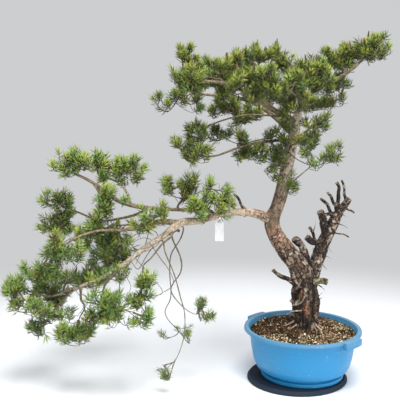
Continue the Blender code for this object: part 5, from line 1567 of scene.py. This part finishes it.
def add_shoot(name, middle, half, tips, wood, guide, rng):
    """One more twig with its shoot in a lobe, or None where each attempt meets a limb or leaves the box."""
    for _attempt in range(ATTEMPTS):
        length = rng.uniform(*SHOOT_LENGTHS)
        tip = lobe_tip(rng, middle, half, tips)
        joint = wood.nearest(tip, length * 1.25)
        point, way, parent = joint
        run, out = (tip - point).normalized(), (tip - middle).normalized()
        stray = Vector(rng.gauss(0, 0.30) for _k in range(3))
        shoot_way = (run * 0.6 + out * 0.25 + stray + Vector((0, 0, LIFT))).normalized()
        foot = tip - shoot_way * length
        twig = Twig(twig_line(point - run * ROOT_SINK, way, foot, shoot_way), parent)
        probes = [*twig.line[len(twig.line) // 3:], foot.lerp(tip, 0.5), tip]
        if within_reach(tip, shoot_way) and not any(guide.inside(probe, CLEARANCE) for probe in probes):
            tips.append(tip)
            wood.joints.remove(joint)
            wood.add(twig, 0.35, 0.95)
            return twig, Shoot(foot, shoot_way, length, 0.5 + (tip.z - middle.z) / half[2] / 2, name)
    return None


def grow_mass(name, guide, fullness):
    """Twigs and shoots of one mass."""
    rng = random.Random(name)
    line, lead = stem_of(name)
    way = ((line[-1] - line[-2]).normalized() + Vector((0, 0, LIFT))).normalized()
    stem = Twig(line, None)
    twigs, tips, wood = [stem], [line[-1] + way * STEM_TIP_ROOM], Wood()
    shoots = [Shoot(line[-1], way, STEM_SHOOT, 0.5, name)]
    wood.add(stem, max(0.25, lead), 0.97)
    share = HANGING_LOBES if name.startswith("hanging") else OTHER_LOBES
    lobes = [(middle, half, count * share) for middle, half, count in MASSES[name]["lobes"]]
    for middle, half, count in lobes + tufts_of(name, fullness):
        for _shoot in range(round(count)):
            grown = add_shoot(name, Vector(middle), half, tips, wood, guide, rng)
            if grown:
                twigs.append(grown[0])
                shoots.append(grown[1])
    for twig in reversed(twigs[1:]):
        twig.parent.load += twig.load
    return twigs, shoots


def add_tube(points, faces, line, radii, sides):
    """A closed tube along the line, added to the lists."""
    first = len(points)
    for centre, (across, up), radius in zip(line, side_ways(line), radii):
        for j in range(sides):
            angle = math.tau * j / sides
            points.append(centre + (across * math.cos(angle) + up * math.sin(angle)) * radius)
    for k in range(len(line) - 1):
        low, high = first + k * sides, first + (k + 1) * sides
        for j in range(sides):
            n = (j + 1) % sides
            faces.append((low + j, low + n, high + n, high + j))
    faces.append(tuple(range(first + sides - 1, first - 1, -1)))
    last = first + (len(line) - 1) * sides
    faces.append(tuple(range(last, last + sides)))


def twig_radii(twig, rng):
    """A twig thins from its root to its shoot, with a knot where each year's growth began."""
    base = TWIG_RADIUS * twig.load**TWIG_GROWTH
    count = len(twig.line)
    radii = []
    for k in range(count):
        share = k / (count - 1)
        radius = base + (TWIG_RADIUS * 0.85 - base) * share**0.9
        radii.append(radius * (1 + rng.uniform(-0.12, 0.16)) * (1.18 if k == 0 else 1))
    return radii


# Needles

# Needle colours. The lighter ones go to sprays high in their lobes and the darker ones to those low inside,
# partly as painted light and shade.
NEEDLE_TINTS = (
    ("fresh", "#aeb848"), ("spring", "#96a33e"), ("summer", "#7c8b39"), ("deep", "#606f31"),
    ("shade", "#4a572c"), ("olive", "#8f8a40"), ("leaf", "#a4ba58"), ("sea", "#8aa658"), ("pond", "#688a49"),
)
OLDER_AND_SHADED = {  # the darker colour of last year's needles on a spray, which also paints the shade inside the tufts
    "fresh": "summer", "spring": "deep", "summer": "shade", "deep": "shade", "shade": "shade",
    "olive": "deep", "leaf": "sea", "sea": "pond", "pond": "deep",
}


def needle_rows(shoot, sizes, rng):
    """Needles of one shoot as arrays: roots, tips' ways, lengths, sides, bends, and which are last year's;
    those are darker, which also paints shade inside the tufts.
    """
    foot, way, length = np.array(shoot.foot), np.array(shoot.way), shoot.length
    across = np.array(shoot.way.orthogonal().normalized())
    up = np.cross(way, across)
    fine = shoot.mass.startswith(("crown", "mid", "trunk", "east"))
    count = int(sizes.pairs * rng.uniform(0.85, 1.1) * (0.55 + 18 * length) * (0.74 if fine else 0.62))
    share = (np.arange(count) + 0.5) / count
    turn = np.arange(count) * GOLDEN_TURN + rng.uniform(0, math.tau)
    lean = np.radians((72 - 50 * share if fine else 74 - 52 * share) + rng.normal(0, 9, count))
    radial = np.outer(np.cos(turn), across) + np.outer(np.sin(turn), up)
    tangent = np.outer(-np.sin(turn), across) + np.outer(np.cos(turn), up)
    root = foot + np.outer(share * length, way) + radial * STALK_RADIUS
    main = np.outer(np.cos(lean), way) + radial * np.sin(lean)[:, None]
    long = 1.12 if fine else 0.92 if shoot.mass.startswith("hanging") else 1.28
    reach = sizes.needle_length * long * rng.uniform(0.78, 1.10, count)
    reach *= 0.80 + 0.22 * np.sin(np.pi * (0.15 + 0.75 * share))
    rows = []
    for sign in (-1, 1):
        spread = rng.uniform(0.05, 0.13, count)[:, None] * sign
        aim = main + tangent * spread
        aim /= np.linalg.norm(aim, axis=1)[:, None]
        stray = tangent * rng.normal(0, 0.07, count)[:, None]
        bend = (np.outer(np.full(count, 0.16), way) + stray) * reach[:, None]
        spin = rng.uniform(0, math.tau, count)[:, None]
        side = np.cross(aim, way)
        side /= np.linalg.norm(side, axis=1)[:, None]
        side = side * np.cos(spin) + np.cross(aim, side) * np.sin(spin)
        start, reach_here = root + tangent * sign * PAIR_HALF, reach * rng.uniform(0.94, 1.04, count)
        run = aim * reach_here[:, None] + bend
        room = np.where(run > 0, np.array(CAD_HIGH) - start, start - np.array(CAD_LOW)) - BOX_GAP
        short = np.clip((room / np.maximum(np.abs(run), 1e-6)).min(axis=1), 0.05, 1)
        # last year's needles near the twig: darker, partly their own colour and partly painted shade inside
        # the tuft
        old = share + rng.normal(0, 0.22, count) < OLD_AND_SHADED_SHARE
        rows.append((start, aim, reach_here * short, side, bend * short[:, None], old))
    return [np.concatenate(parts) for parts in zip(*rows)]


NEEDLE_FACES = np.array(((0, 2, 1), (0, 3, 2), (0, 1, 3), (1, 2, 4), (2, 3, 4), (3, 1, 4)))


def needle_mesh(name, rows, sizes):
    """Needles as slim three-sided spindles of six faces, all in one mesh. A longer needle is stouter too."""
    root, aim, reach, side, bend = (np.concatenate([row[k] for row in rows]) for k in range(5))
    over = np.cross(aim, side)
    half = sizes.needle_width / 2 * (reach[:, None] / sizes.needle_length) ** 1.6
    middle = root + aim * (reach * 0.42)[:, None] + bend * 0.15
    tip = root + aim * reach[:, None] + bend
    corners = [
        root, middle + side * half, middle - side * half * 0.5 + over * half * 0.87,
        middle - side * half * 0.5 - over * half * 0.87, tip,
    ]
    points = np.stack(corners, axis=1).reshape(-1, 3)
    faces = (NEEDLE_FACES[None] + (np.arange(len(root)) * 5)[:, None, None]).reshape(-1, 3)
    mesh = bpy.data.meshes.new(name)
    mesh.from_pydata(points.tolist(), [], faces.tolist())
    mesh.shade_smooth()
    obj = bpy.data.objects.new(name, mesh)
    bpy.context.scene.collection.objects.link(obj)
    return obj


def tint_of(shoot, rng):
    """Which colour a spray gets: lighter high and far out and darker low and inside, partly fresher growth
    and partly painted light and shade; bluer on the left bough.
    """
    # painted light and shade: sprays high in their lobe or pointing up get lighter tints, those low in it
    # darker ones
    light = 0.26 + 0.20 * shoot.high + 0.12 * max(0.0, shoot.way.z) + rng.gauss(0, 0.19)
    left = shoot.mass.startswith(("left", "bough", "hanging"))
    low = left and shoot.foot.z < LOW_SPRAYS
    light += 0.12 if low else 0.20 if left else 0.0
    if rng.random() < OLIVE_SHARE:
        return "olive"
    if rng.random() < (0.80 if low else 0.50 if left else 0.10):
        return "leaf" if light > 0.66 else "sea" if light > 0.40 else "pond"
    for limit, tint in ((0.78, "fresh"), (0.58, "spring"), (0.36, "summer"), (0.18, "deep")):
        if light > limit:
            return tint
    return "shade"


def add_stalk(points, faces, shoot):
    """The woody stalk of a shoot, which its needles hide."""
    foot, way, length = shoot.foot, shoot.way, shoot.length
    line = [foot - way * 0.002, foot + way * length * 0.5, foot + way * length]
    add_tube(points, faces, line, (0.0011, 0.0012, 0.0008), 3)


def add_bud(points, faces, foot, way, length, radius):
    """A bud or candle: a slim spindle with five sides."""
    line = [foot + way * length * share for share in (0.0, 0.25, 0.6, 0.88, 1.0)]
    add_tube(points, faces, line, [radius * k for k in (0.7, 1.0, 0.9, 0.55, 0.12)], 5)


def add_buds(points, faces, shoot, rng):
    """The bud at a shoot's tip and the small ones beside it, if any. High in the crown many are candles."""
    crown = shoot.mass.startswith("crown")
    if rng.random() >= (CROWN_BUDS if crown else OTHER_BUDS):
        return
    tall = rng.random() < (HIGH_CANDLES if crown and shoot.high > 0.6 else STRAY_CANDLES)
    lengths, lift, radius = CANDLE if tall else BUD
    reach = rng.uniform(*lengths)
    tip = shoot.foot + shoot.way * (shoot.length - 0.001)
    reach = min(reach, CAD_HIGH.z - tip.z - 0.001)
    up = (shoot.way + Vector((0, 0, lift))).normalized()
    add_bud(points, faces, tip, up, reach, radius)
    for _side in range(rng.randrange(0, 3)):
        aside = (up + Vector(rng.gauss(0, 0.35) for _k in range(3))).normalized()
        add_bud(points, faces, tip, aside, reach * 0.55, SIDE_BUD_RADIUS)


def add_bare_twigs(points, faces, guide, rng):
    """The bare twigs, each from the heart of the limb that is nearest, and a little crooked."""
    for depth, places, thick in BARE_TWIGS:
        line = [Vector((x, depth, z)) for x, z in places]
        line.insert(0, guide.at(line[0]).centre)
        steps = max(6, round(line_length(line) / TWIG_STEP))
        bent = [p + noise.noise_vector(p * 28) * 0.004 for p in smooth_line(line, steps)]
        radii = [thick * (1.25 - 0.6 * k / steps) * rng.uniform(0.85, 1.2) for k in range(steps)]
        add_tube(points, faces, bent, radii, 5)


# Soil

def pot_place(x, y):
    """A place over the basin as its turned and stretched plan has it."""
    turned = Matrix.Rotation(HANDLE_TURN, 2) @ Vector((x * math.sqrt(POT_OVAL), y / math.sqrt(POT_OVAL)))
    return Vector((turned.x + POT_CENTRE.x, turned.y + POT_CENTRE.y))


def soil_height(radius):
    """Height of the mound of soil at this distance from the basin's middle."""
    share = clamp((radius - SOIL_RADIUS) / (SOIL_PATCH - SOIL_RADIUS))
    return SOIL_EDGE + (SOIL_TOP - SOIL_EDGE) * (0.5 - 0.5 * math.cos(math.pi * share))


def soil_bank(spot):
    """How much higher the soil lies at a place at the back of the basin."""
    return 0.0045 * smooth_step(spot.y, 0.0, 0.08)


def ball_shape():
    """Corners and faces of a twenty-sided stone."""
    golden = (1 + math.sqrt(5)) / 2
    corners = []
    for a in (-1, 1):
        for b in (-golden, golden):
            corners += [Vector((0, a, b)), Vector((a, b, 0)), Vector((b, 0, a))]
    corners = [c.normalized() for c in corners]
    faces = []
    for i in range(12):
        for j in range(i + 1, 12):
            for k in range(j + 1, 12):
                a, b, c = corners[i], corners[j], corners[k]
                if max((a - b).length, (b - c).length, (a - c).length) < 1.1:
                    faces.append((i, j, k) if (b - a).cross(c - a).dot(a) > 0 else (i, k, j))
    return corners, faces


def add_stone(points, faces, ball, middle, size, rng):
    """One grain: the ball pulled out of round, squashed and turned."""
    corners, sides = ball
    first = len(points)
    angle = rng.uniform(0, math.tau)
    axis = Vector(rng.gauss(0, 1) for _k in range(3)).normalized()
    turn = Matrix.Rotation(angle, 3, axis)
    squash = Vector((size, size * rng.uniform(0.7, 1.0), size * rng.uniform(0.45, 0.8)))
    for corner in corners:
        grown = rng.uniform(0.8, 1.15)
        points.append(middle + turn @ Vector(c * s * grown for c, s in zip(corner, squash)))
    for side in sides:
        faces.append(tuple(first + k for k in side))


def scattered(rng, reach):
    """A random place on the soil, up to this share of its radius, and how far out it is on a round plan."""
    angle, radius = rng.uniform(0, math.tau), SOIL_RADIUS * math.sqrt(rng.random()) * reach
    return pot_place(radius * math.cos(angle), radius * math.sin(angle)), radius


def litter_at(spot):
    """How much dark litter lies at a place: most at the back left and round the trunk, and least in front."""
    litter = noise.noise(Vector((spot.x, spot.y, 0)) * 22) + 0.5 * smooth_step(spot.y - spot.x, -0.02, 0.10)
    litter -= 0.35 * smooth_step(-spot.y, 0.02, 0.10)
    return litter + 0.55 * (1 - smooth_step((spot.xy - Vector((0.005, 0.0))).length, 0.055, 0.110))


def grain_kind(spot, rng):
    """Which kind the grain at a place is."""
    dark = 0.36 + 0.50 * smooth_step(litter_at(spot), -0.25, 0.45)
    pick = rng.random()
    if pick < dark:
        return "bark_chip" if rng.random() < 0.6 else "lava"
    if pick < dark + (1 - dark) * 0.34:
        return "akadama"
    return "pumice" if rng.random() < 0.75 else "pale_grit"


def scatter_grains(rng):
    """Loose grains all over the bed but at the trunk's foot: lists of points and faces for each kind."""
    heaps = {kind: ([], []) for kind in GRAINS}
    ball = ball_shape()
    for _grain in range(GRAIN_COUNT):
        spot, radius = scattered(rng, 1.006)
        size = min(0.0046, max(0.0013, rng.lognormvariate(math.log(0.0021), 0.36)))
        middle = Vector((spot.x, spot.y, soil_height(radius) - 0.0008 + rng.uniform(0, 0.0014)))
        middle.z += soil_bank(spot) * (radius < SOIL_RADIUS * 0.97)
        if Vector((spot.x - TRUNK_X, spot.y)).length < GRAINS_CLEAR + size:
            continue
        add_stone(*heaps[grain_kind(spot, rng)], ball, middle, size, rng)
    return heaps


def scatter_needles(rng):
    """Fallen needles that lie on the bed, with fewer of them left of the trunk: lists of points and faces."""
    points, faces = [], []
    for _needle in range(FALLEN_NEEDLES):
        spot, radius = scattered(rng, 0.93)
        if (spot - Vector((TRUNK_X, 0))).length < NEEDLES_CLEAR:
            continue
        if spot.x < 0.05 and rng.random() < 0.35:
            continue
        heading, length = rng.uniform(0, math.tau), rng.uniform(0.020, 0.034)
        height = soil_height(radius) + soil_bank(spot) + rng.uniform(0.0010, 0.0028)
        way = Vector((math.cos(heading), math.sin(heading), rng.uniform(-0.08, 0.10)))
        start = Vector((spot.x, spot.y, height))
        middle = start + way * length * 0.5 + Vector((0, 0, 0.0012))
        end = start + way * length
        planned = Matrix.Rotation(-HANDLE_TURN, 2) @ (end.xy - POT_CENTRE.xy)
        if planned.length <= SOIL_RADIUS * 0.95:
            add_tube(points, faces, [start, middle, end], (0.0006, 0.0007, 0.0003), 3)
    return points, faces


def soil_mound():
    """The bed that the grains lie on: a mound with a rough top, higher at the back."""
    profile = [(0.130, 0.135), (SOIL_RADIUS - 0.004, 0.140), (SOIL_RADIUS + 0.0040, SOIL_EDGE)]
    for k in range(1, 15):
        radius = SOIL_RADIUS * (1 - k / 15)
        profile.append((radius, soil_height(radius)))
    bed = turn_profile(profile, 96)
    for vertex in bed.data.vertices:
        place = vertex.co
        if place.z > SOIL_EDGE - 0.002 and place.xy.length < SOIL_RADIUS * 0.97:
            place.z += 0.0022 * noise.noise(place * 60) + 0.0012 * noise.noise(place * 170) - 0.0012
            place.z += soil_bank(pot_place(*place.xy))
    bed.scale = POT_STRETCH
    bed.rotation_euler.z = HANDLE_TURN
    bed.location = (POT_CENTRE.x, 0, 0)
    settle(bed)
    return bed


# Turned pieces

def rounded(profile, radius, steps=4):
    """A profile whose corners are rounded."""
    made = [Vector(profile[0])]
    for before, corner, after in zip(profile, profile[1:], profile[2:]):
        before, corner, after = Vector(before), Vector(corner), Vector(after)
        reach = min(radius, (corner - before).length * 0.45, (after - corner).length * 0.45)
        a = corner + (before - corner).normalized() * reach
        b = corner + (after - corner).normalized() * reach
        for k in range(steps + 1):
            u = k / steps
            made.append(a * (1 - u) ** 2 + corner * 2 * u * (1 - u) + b * u * u)
    made.append(Vector(profile[-1]))
    return made


def turn_profile(profile, steps):
    """A round face drawn out along a profile of radius and height, ring by ring."""
    radius, height = profile[0]
    middle = (0, 0, height)
    bpy.ops.mesh.primitive_circle_add(vertices=steps, radius=radius, fill_type="NGON", location=middle)
    obj = bpy.context.object
    bpy.ops.object.mode_set(mode="EDIT")
    for low, high in zip(profile, profile[1:]):
        bpy.ops.mesh.extrude_region_move(TRANSFORM_OT_translate={"value": (0, 0, high[1] - low[1])})
        grow = high[0] / low[0]
        bpy.ops.transform.resize(value=(grow, grow, 1), center_override=(0, 0, high[1]))
    bpy.ops.mesh.select_all(action="SELECT")
    bpy.ops.mesh.normals_make_consistent(inside=False)
    bpy.ops.object.mode_set(mode="OBJECT")
    settle(obj)
    return obj


def rim_block(inner, outer, half, low, high, edge):
    """A block that follows the rim, spun from an upright face, with soft edges."""
    middle = ((inner + outer) / 2, 0, (low + high) / 2)
    bpy.ops.mesh.primitive_plane_add(size=1, location=middle, rotation=(math.pi / 2, 0, 0))
    obj = bpy.context.object
    obj.scale = (outer - inner, high - low, 1)
    settle(obj)
    bpy.ops.object.mode_set(mode="EDIT")
    bpy.ops.mesh.select_all(action="SELECT")
    bpy.ops.mesh.spin(steps=16, angle=2 * half, center=(0, 0, 0), axis=(0, 0, 1))
    bpy.ops.mesh.select_all(action="SELECT")
    bpy.ops.mesh.remove_doubles(threshold=0.00001)
    bpy.ops.mesh.normals_make_consistent(inside=False)
    bpy.ops.object.mode_set(mode="OBJECT")
    turns = [math.atan2(v.co.y, v.co.x) for v in obj.data.vertices]
    obj.rotation_euler.z = -(min(turns) + max(turns)) / 2
    settle(obj)
    apply_modifier(obj, "BEVEL", width=edge, segments=3, limit_method="ANGLE", angle_limit=math.radians(50))
    return obj


def basin_profile():
    """Radius and height along the basin's section, from under its foot up the wall and over the rim."""
    rim, top = POT_RIM_RADIUS, POT_HEIGHT
    foot = [(0.122, 0.0), (0.1288, 0.0), (0.1302, 0.0015), (0.1306, 0.0118)]
    groove = [(0.1215, 0.0140), (0.1215, 0.0230)]
    wall = [
        (0.1395, 0.0246), (0.1440, 0.0280), (0.1512, 0.0430), (0.1568, 0.0640), (0.1612, 0.0900),
        (0.1646, 0.1180), (0.1664, 0.1400),
    ]
    roll = [
        (rim - 0.0075, 0.1455), (rim - 0.0005, 0.1462), (rim, 0.1480), (rim - 0.0012, 0.1545),
        (rim - 0.0050, top), (rim - 0.0120, top), (rim - 0.0148, 0.1545),
    ]
    inside = [
        (0.1690, 0.149), (0.1655, 0.140), (0.1405, 0.0325), (0.1300, 0.0265), (0.1190, 0.0225),
        (0.1190, 0.004), (0.110, 0.004),
    ]
    return rounded(foot + groove + wall + roll + inside, 0.0016)


def add_grips(pot):
    """Joins a grip to each end of the basin, and hollows out the finger pocket under it."""
    reach = POT_RIM_RADIUS * POT_STRETCH[0]
    high = POT_HEIGHT - GRIP_STEP
    low = high - HANDLE_DROP * 0.85
    for turn in (0, math.pi):
        grip = rim_block(reach - 0.007, reach + HANDLE_REACH, HANDLE_HALF, low, high, 0.0022)
        hollow = rim_block(reach + 0.0005, reach + HANDLE_REACH - GRIP_WALL, HANDLE_HALF - math.radians(1.2),
                           low - 0.01, high - 0.004, 0.0012)
        for block in (grip, hollow):
            block.rotation_euler.z = turn
            settle(block)
        apply_modifier(pot, "BOOLEAN", operation="UNION", object=grip)
        apply_modifier(pot, "BOOLEAN", operation="DIFFERENCE", object=hollow)
        bpy.data.objects.remove(grip)
        bpy.data.objects.remove(hollow)


# Label

def label_strap(centre, way, around):
    """The strap that loops round the bough."""
    bpy.ops.mesh.primitive_torus_add(
        major_segments=40, minor_segments=10, major_radius=around, minor_radius=STRAP_THICK / 2
    )
    strap = bpy.context.object
    strap.scale.z = LABEL_LOOP / STRAP_THICK
    strap.rotation_euler = way.to_track_quat("Z", "Y").to_euler()
    strap.location = centre
    settle(strap)
    return strap


def label_strip(top):
    """The strip that hangs from the strap: it widens in three steps, runs down plain and waves a little."""
    bpy.ops.mesh.primitive_plane_add(size=1, location=(0, 0, 0), rotation=(math.pi / 2, 0, 0))
    plate = bpy.context.object
    plate.scale = (LABEL_LOOP, 0.001, 1)
    settle(plate)
    bpy.ops.object.mode_set(mode="EDIT")
    bpy.ops.mesh.select_mode(type="EDGE")
    bpy.ops.object.mode_set(mode="OBJECT")
    low = min(v.co.z for v in plate.data.vertices)
    for edge in plate.data.edges:
        edge.select = all(plate.data.vertices[k].co.z < low + 0.0001 for k in edge.vertices)
    bpy.ops.object.mode_set(mode="EDIT")
    width, height = LABEL_LOOP, low
    for drop, wide in LABEL_STEPS:
        height -= drop
        bpy.ops.mesh.extrude_edges_move(TRANSFORM_OT_translate={"value": (0, 0, -drop)})
        bpy.ops.transform.resize(value=(wide / width, 1, 1), center_override=(0, 0, height))
        width = wide
    bpy.ops.mesh.select_all(action="SELECT")
    bpy.ops.mesh.subdivide(number_cuts=4)
    bpy.ops.object.mode_set(mode="OBJECT")
    for vertex in plate.data.vertices:
        vertex.co.y += 0.0012 * math.sin(vertex.co.z * 45)
    apply_modifier(plate, "SOLIDIFY", thickness=LABEL_THICK, offset=0)
    plate.location = top
    settle(plate)
    return plate


# Stage

def pale_floor():
    """Pale seamless card, which fades out towards its edge."""
    made, tree, shader = new_finish("pale_floor", 0.8)
    shader.inputs["Base Color"].default_value = linear("#f6f8fb")
    where = add_node(tree, "ShaderNodeTexCoord").outputs["Object"]
    inputs = {0: where, 1: (0.3, 0.25, 0.0)}
    centred = add_node(tree, "ShaderNodeVectorMath", {"operation": "ADD"}, inputs).outputs[0]
    reach = add_node(tree, "ShaderNodeVectorMath", {"operation": "LENGTH"}, {0: centred}).outputs[1]
    limits = {0: reach, 1: 0.85, 2: 2.0, 3: 1.0, 4: 0.0}
    fade = add_node(tree, "ShaderNodeMapRange", {"interpolation_type": "SMOOTHSTEP"}, limits).outputs[0]
    tree.links.new(fade, shader.inputs["Alpha"])
    return made


def add_lamp(name, place, power, size):
    """A square lamp that shines on the middle of the tree."""
    data = bpy.data.lights.new(name, "AREA")
    data.energy = power
    data.size = size
    lamp = bpy.data.objects.new(name, data)
    lamp.location = place
    lamp.rotation_euler = (LAMPS_AIM - Vector(place)).to_track_quat("-Z", "Y").to_euler()
    bpy.context.scene.collection.objects.link(lamp)


def add_surroundings(strength):
    """An even pale light from all round."""
    world = bpy.data.worlds.new("pale_surroundings")
    world.use_nodes = True
    sky = world.node_tree.nodes["Background"]
    sky.inputs["Color"].default_value = linear("#f0f1f3")
    sky.inputs["Strength"].default_value = strength
    bpy.context.scene.world = world


def add_camera():
    """The camera of the photo, worked out from the basin's rim and the turntable's edge."""
    data = bpy.data.cameras.new("camera")
    data.angle = 2 * math.atan(PHOTO_HALF / CAMERA_FOCAL)
    camera = bpy.data.objects.new("camera", data)
    camera.location = CAMERA_PLACE
    camera.rotation_euler = (math.pi / 2 - CAMERA_PITCH, 0, 0)
    bpy.context.scene.collection.objects.link(camera)
    bpy.context.scene.camera = camera


# Operators

class BONSAI_OT_trunk(Operator):
    """Grow the trunk, the dead trunk and the long left bough as one skin with plate bark"""

    bl_idname = "bonsai.trunk"
    bl_label = "Trunk and Bark"

    def execute(self, context):
        sizes = context.scene.bonsai_wood
        wood = grow_wood("trunk_wood", trunk_runs(), sizes.grain, sizes.plate_size, sizes.plate_depth)
        keep(wood, "trunk_wood", plate_bark(), OLD_LIMBS, 180)
        return {"FINISHED"}


class BONSAI_OT_boughs(Operator):
    """Grow the other boughs, with thinner bark"""

    bl_idname = "bonsai.boughs"
    bl_label = "Boughs"

    def execute(self, context):
        sizes = context.scene.bonsai_wood
        names = [name for name in LIMBS if name not in OLD_LIMBS]
        wood = grow_wood("bough_wood", limb_runs(names), BOUGH_GRAIN, sizes.plate_size * 0.6, BOUGH_RELIEF)
        keep(wood, "bough_wood", bpy.data.materials["plate_bark"], names, 180)
        return {"FINISHED"}


class BONSAI_OT_foliage(Operator):
    """Grow twigs, needles and buds in every mass of foliage"""

    bl_idname = "bonsai.foliage"
    bl_label = "Foliage"

    def execute(self, context):
        sizes = context.scene.bonsai_foliage
        guide = Guide(limb_runs(LIMBS))
        rng = random.Random(sizes.seed)
        wood, buds = ([], []), ([], [])
        rows = {tint: [] for tint, _code in NEEDLE_TINTS}
        for name in MASSES:
            twigs, shoots = grow_mass(name, guide, sizes.fullness)
            for twig in twigs:
                add_tube(*wood, twig.line, twig_radii(twig, rng), 5 if twig.load > 2 else 4)
            for shoot in shoots:
                add_stalk(*wood, shoot)
                arrays = np.random.default_rng(rng.randrange(1 << 30))
                tint = tint_of(shoot, rng)
                *parts, old = needle_rows(shoot, sizes, arrays)
                rows[tint].append([part[~old] for part in parts])
                rows[OLDER_AND_SHADED[tint]].append([part[old] for part in parts])
                add_buds(*buds, shoot, rng)
        add_bare_twigs(*wood, guide, rng)
        keep(from_lists("twigs", *wood), "twigs", twig_bark(), list(MASSES), 60)
        keep(from_lists("buds", *buds), "buds", bud_scales(), (), 60)
        for tint, code in NEEDLE_TINTS:
            if rows[tint]:
                name = f"needles_{tint}"
                finish = needle_skin(f"needle_skin_{tint}", code)
                keep(needle_mesh(name, rows[tint], sizes), name, finish, list(MASSES))
        return {"FINISHED"}


class BONSAI_OT_basin(Operator):
    """Mould the basin with its rolled rim, foot ring, grips and finger pockets"""

    bl_idname = "bonsai.basin"
    bl_label = "Basin"

    def execute(self, context):
        pot = turn_profile(basin_profile(), 128)
        pot.scale = POT_STRETCH
        settle(pot)
        add_grips(pot)
        pot.rotation_euler.z = HANDLE_TURN
        pot.location = POT_CENTRE + Vector((0, 0, POT_FOOT))
        settle(pot)
        colours = context.scene.bonsai_pot
        keep(pot, "basin", moulded_polypropylene(colours), ("pot",), 35)
        return {"FINISHED"}


class BONSAI_OT_turntable(Operator):
    """Mould the turntable with its stepped edge and grooved top"""

    bl_idname = "bonsai.turntable"
    bl_label = "Turntable"

    def execute(self, context):
        r, h = DISC_RADIUS, DISC_HEIGHT
        edge = [
            (r - 0.006, 0), (r - 0.002, 0.0006), (r, 0.003), (r, 0.0062), (r - 0.0022, 0.0082),
            (r - 0.0032, 0.0080), (r - 0.0068, 0.0142),
        ]
        top = [
            (r - 0.009, h), (r - 0.0115, h), (r - 0.0121, h - 0.0010), (r - 0.0140, h - 0.0010),
            (r - 0.0146, h), (r - 0.019, h), (r - 0.0196, h - 0.0008), (r - 0.0210, h - 0.0008),
            (r - 0.0216, h), (0.100, h),
        ]
        disc = turn_profile(rounded(edge + top, 0.0008, 3), 128)
        keep(disc, "turntable_disc", dusty_abs(context.scene.bonsai_pot), ("turntable",), 35)
        return {"FINISHED"}


class BONSAI_OT_soil(Operator):
    """Fill the basin with gritty soil, fallen needles and flakes of bark"""

    bl_idname = "bonsai.soil"
    bl_label = "Soil"

    def execute(self, context):
        rng = random.Random(SOIL_SEED)
        keep(soil_mound(), "soil_bed", stone_grain("damp_loam", "#33291a", "#171209"), ("soil",), 60)
        heaps = scatter_grains(rng)
        for kind, (code, dark) in GRAINS.items():
            heap = from_lists(f"soil_{kind}", *heaps[kind])
            keep(heap, f"soil_{kind}", stone_grain(kind, code, dark), (), 20)
        litter = from_lists("fallen_needles", *scatter_needles(rng))
        keep(litter, "fallen_needles", stone_grain("dry_needles", "#8c5c48", "#58382c"), (), 60)
        return {"FINISHED"}


class BONSAI_OT_label(Operator):
    """Hang the blank strip label on the left bough"""

    bl_idname = "bonsai.label"
    bl_label = "Label"

    def execute(self, context):
        line, radii = limb_line("left_bough")
        centre = spline_point(line, LABEL_AT)
        way = (spline_point(line, LABEL_AT + 0.01) - centre).normalized()
        around = spline_point(radii, LABEL_AT) + STRAP_GAP
        down = (Vector((0, 0, -1)) - way * -way.z).normalized()
        strap = label_strap(centre, way, around)
        strip = label_strip(centre + down * around)
        select_only(strip, strap)
        bpy.ops.object.join()
        keep(bpy.context.object, "strip_label", polystyrene_strip(), ("label",), 40)
        return {"FINISHED"}


class BONSAI_OT_stage(Operator):
    """Set the pale floor, the soft lights and the camera"""

    bl_idname = "bonsai.stage"
    bl_label = "Stage"

    def execute(self, context):
        settings = context.scene.bonsai_stage
        bpy.ops.mesh.primitive_circle_add(vertices=96, radius=2.6, fill_type="NGON", location=(-0.3, 0, 0))
        floor = bpy.context.object
        floor.name = "floor"
        settle(floor)
        floor.data.materials.append(pale_floor())
        add_lamp("key", (-0.05, -1.4, 3.4), settings.key, 1.7)
        add_lamp("fill", (2.1, -2.6, 1.5), settings.fill, 2.0)
        add_lamp("back", (0.6, 2.2, 2.2), settings.fill * 0.2, 1.8)
        add_surroundings(settings.sky)
        add_camera()
        context.scene.view_settings.view_transform = "Standard"
        return {"FINISHED"}


OPERATORS = (
    BONSAI_OT_trunk, BONSAI_OT_boughs, BONSAI_OT_foliage, BONSAI_OT_basin, BONSAI_OT_turntable,
    BONSAI_OT_soil, BONSAI_OT_label, BONSAI_OT_stage,
)


class BONSAI_PT_panel(Panel):
    """The bonsai's pieces in the sidebar"""

    bl_idname = "BONSAI_PT_panel"
    bl_label = "Scots Pine Bonsai"
    bl_space_type = "VIEW_3D"
    bl_region_type = "UI"
    bl_category = "Bonsai"

    def draw(self, context):
        column = self.layout.column()
        for group in ("bonsai_wood", "bonsai_foliage", "bonsai_pot", "bonsai_stage"):
            settings = getattr(context.scene, group)
            for name in settings.__annotations__:
                column.prop(settings, name)
        for operator in OPERATORS:
            column.operator(operator.bl_idname)


CLASSES = (WoodSizes, FoliageSizes, PotFinish, StageSettings, *OPERATORS, BONSAI_PT_panel)


def register():
    noise.seed_set(NOISE_SEED)
    for cls in CLASSES:
        bpy.utils.register_class(cls)
    bpy.types.Scene.bonsai_wood = PointerProperty(type=WoodSizes)
    bpy.types.Scene.bonsai_foliage = PointerProperty(type=FoliageSizes)
    bpy.types.Scene.bonsai_pot = PointerProperty(type=PotFinish)
    bpy.types.Scene.bonsai_stage = PointerProperty(type=StageSettings)


def unregister():
    for group in ("bonsai_wood", "bonsai_foliage", "bonsai_pot", "bonsai_stage"):
        delattr(bpy.types.Scene, group)
    for cls in reversed(CLASSES):
        bpy.utils.unregister_class(cls)


def main():
    register()
    bpy.ops.bonsai.trunk()
    bpy.ops.bonsai.boughs()
    bpy.ops.bonsai.foliage()
    bpy.ops.bonsai.basin()
    bpy.ops.bonsai.turntable()
    bpy.ops.bonsai.soil()
    bpy.ops.bonsai.label()
    bpy.ops.bonsai.stage()
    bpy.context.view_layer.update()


if __name__ == "__main__":
    main()
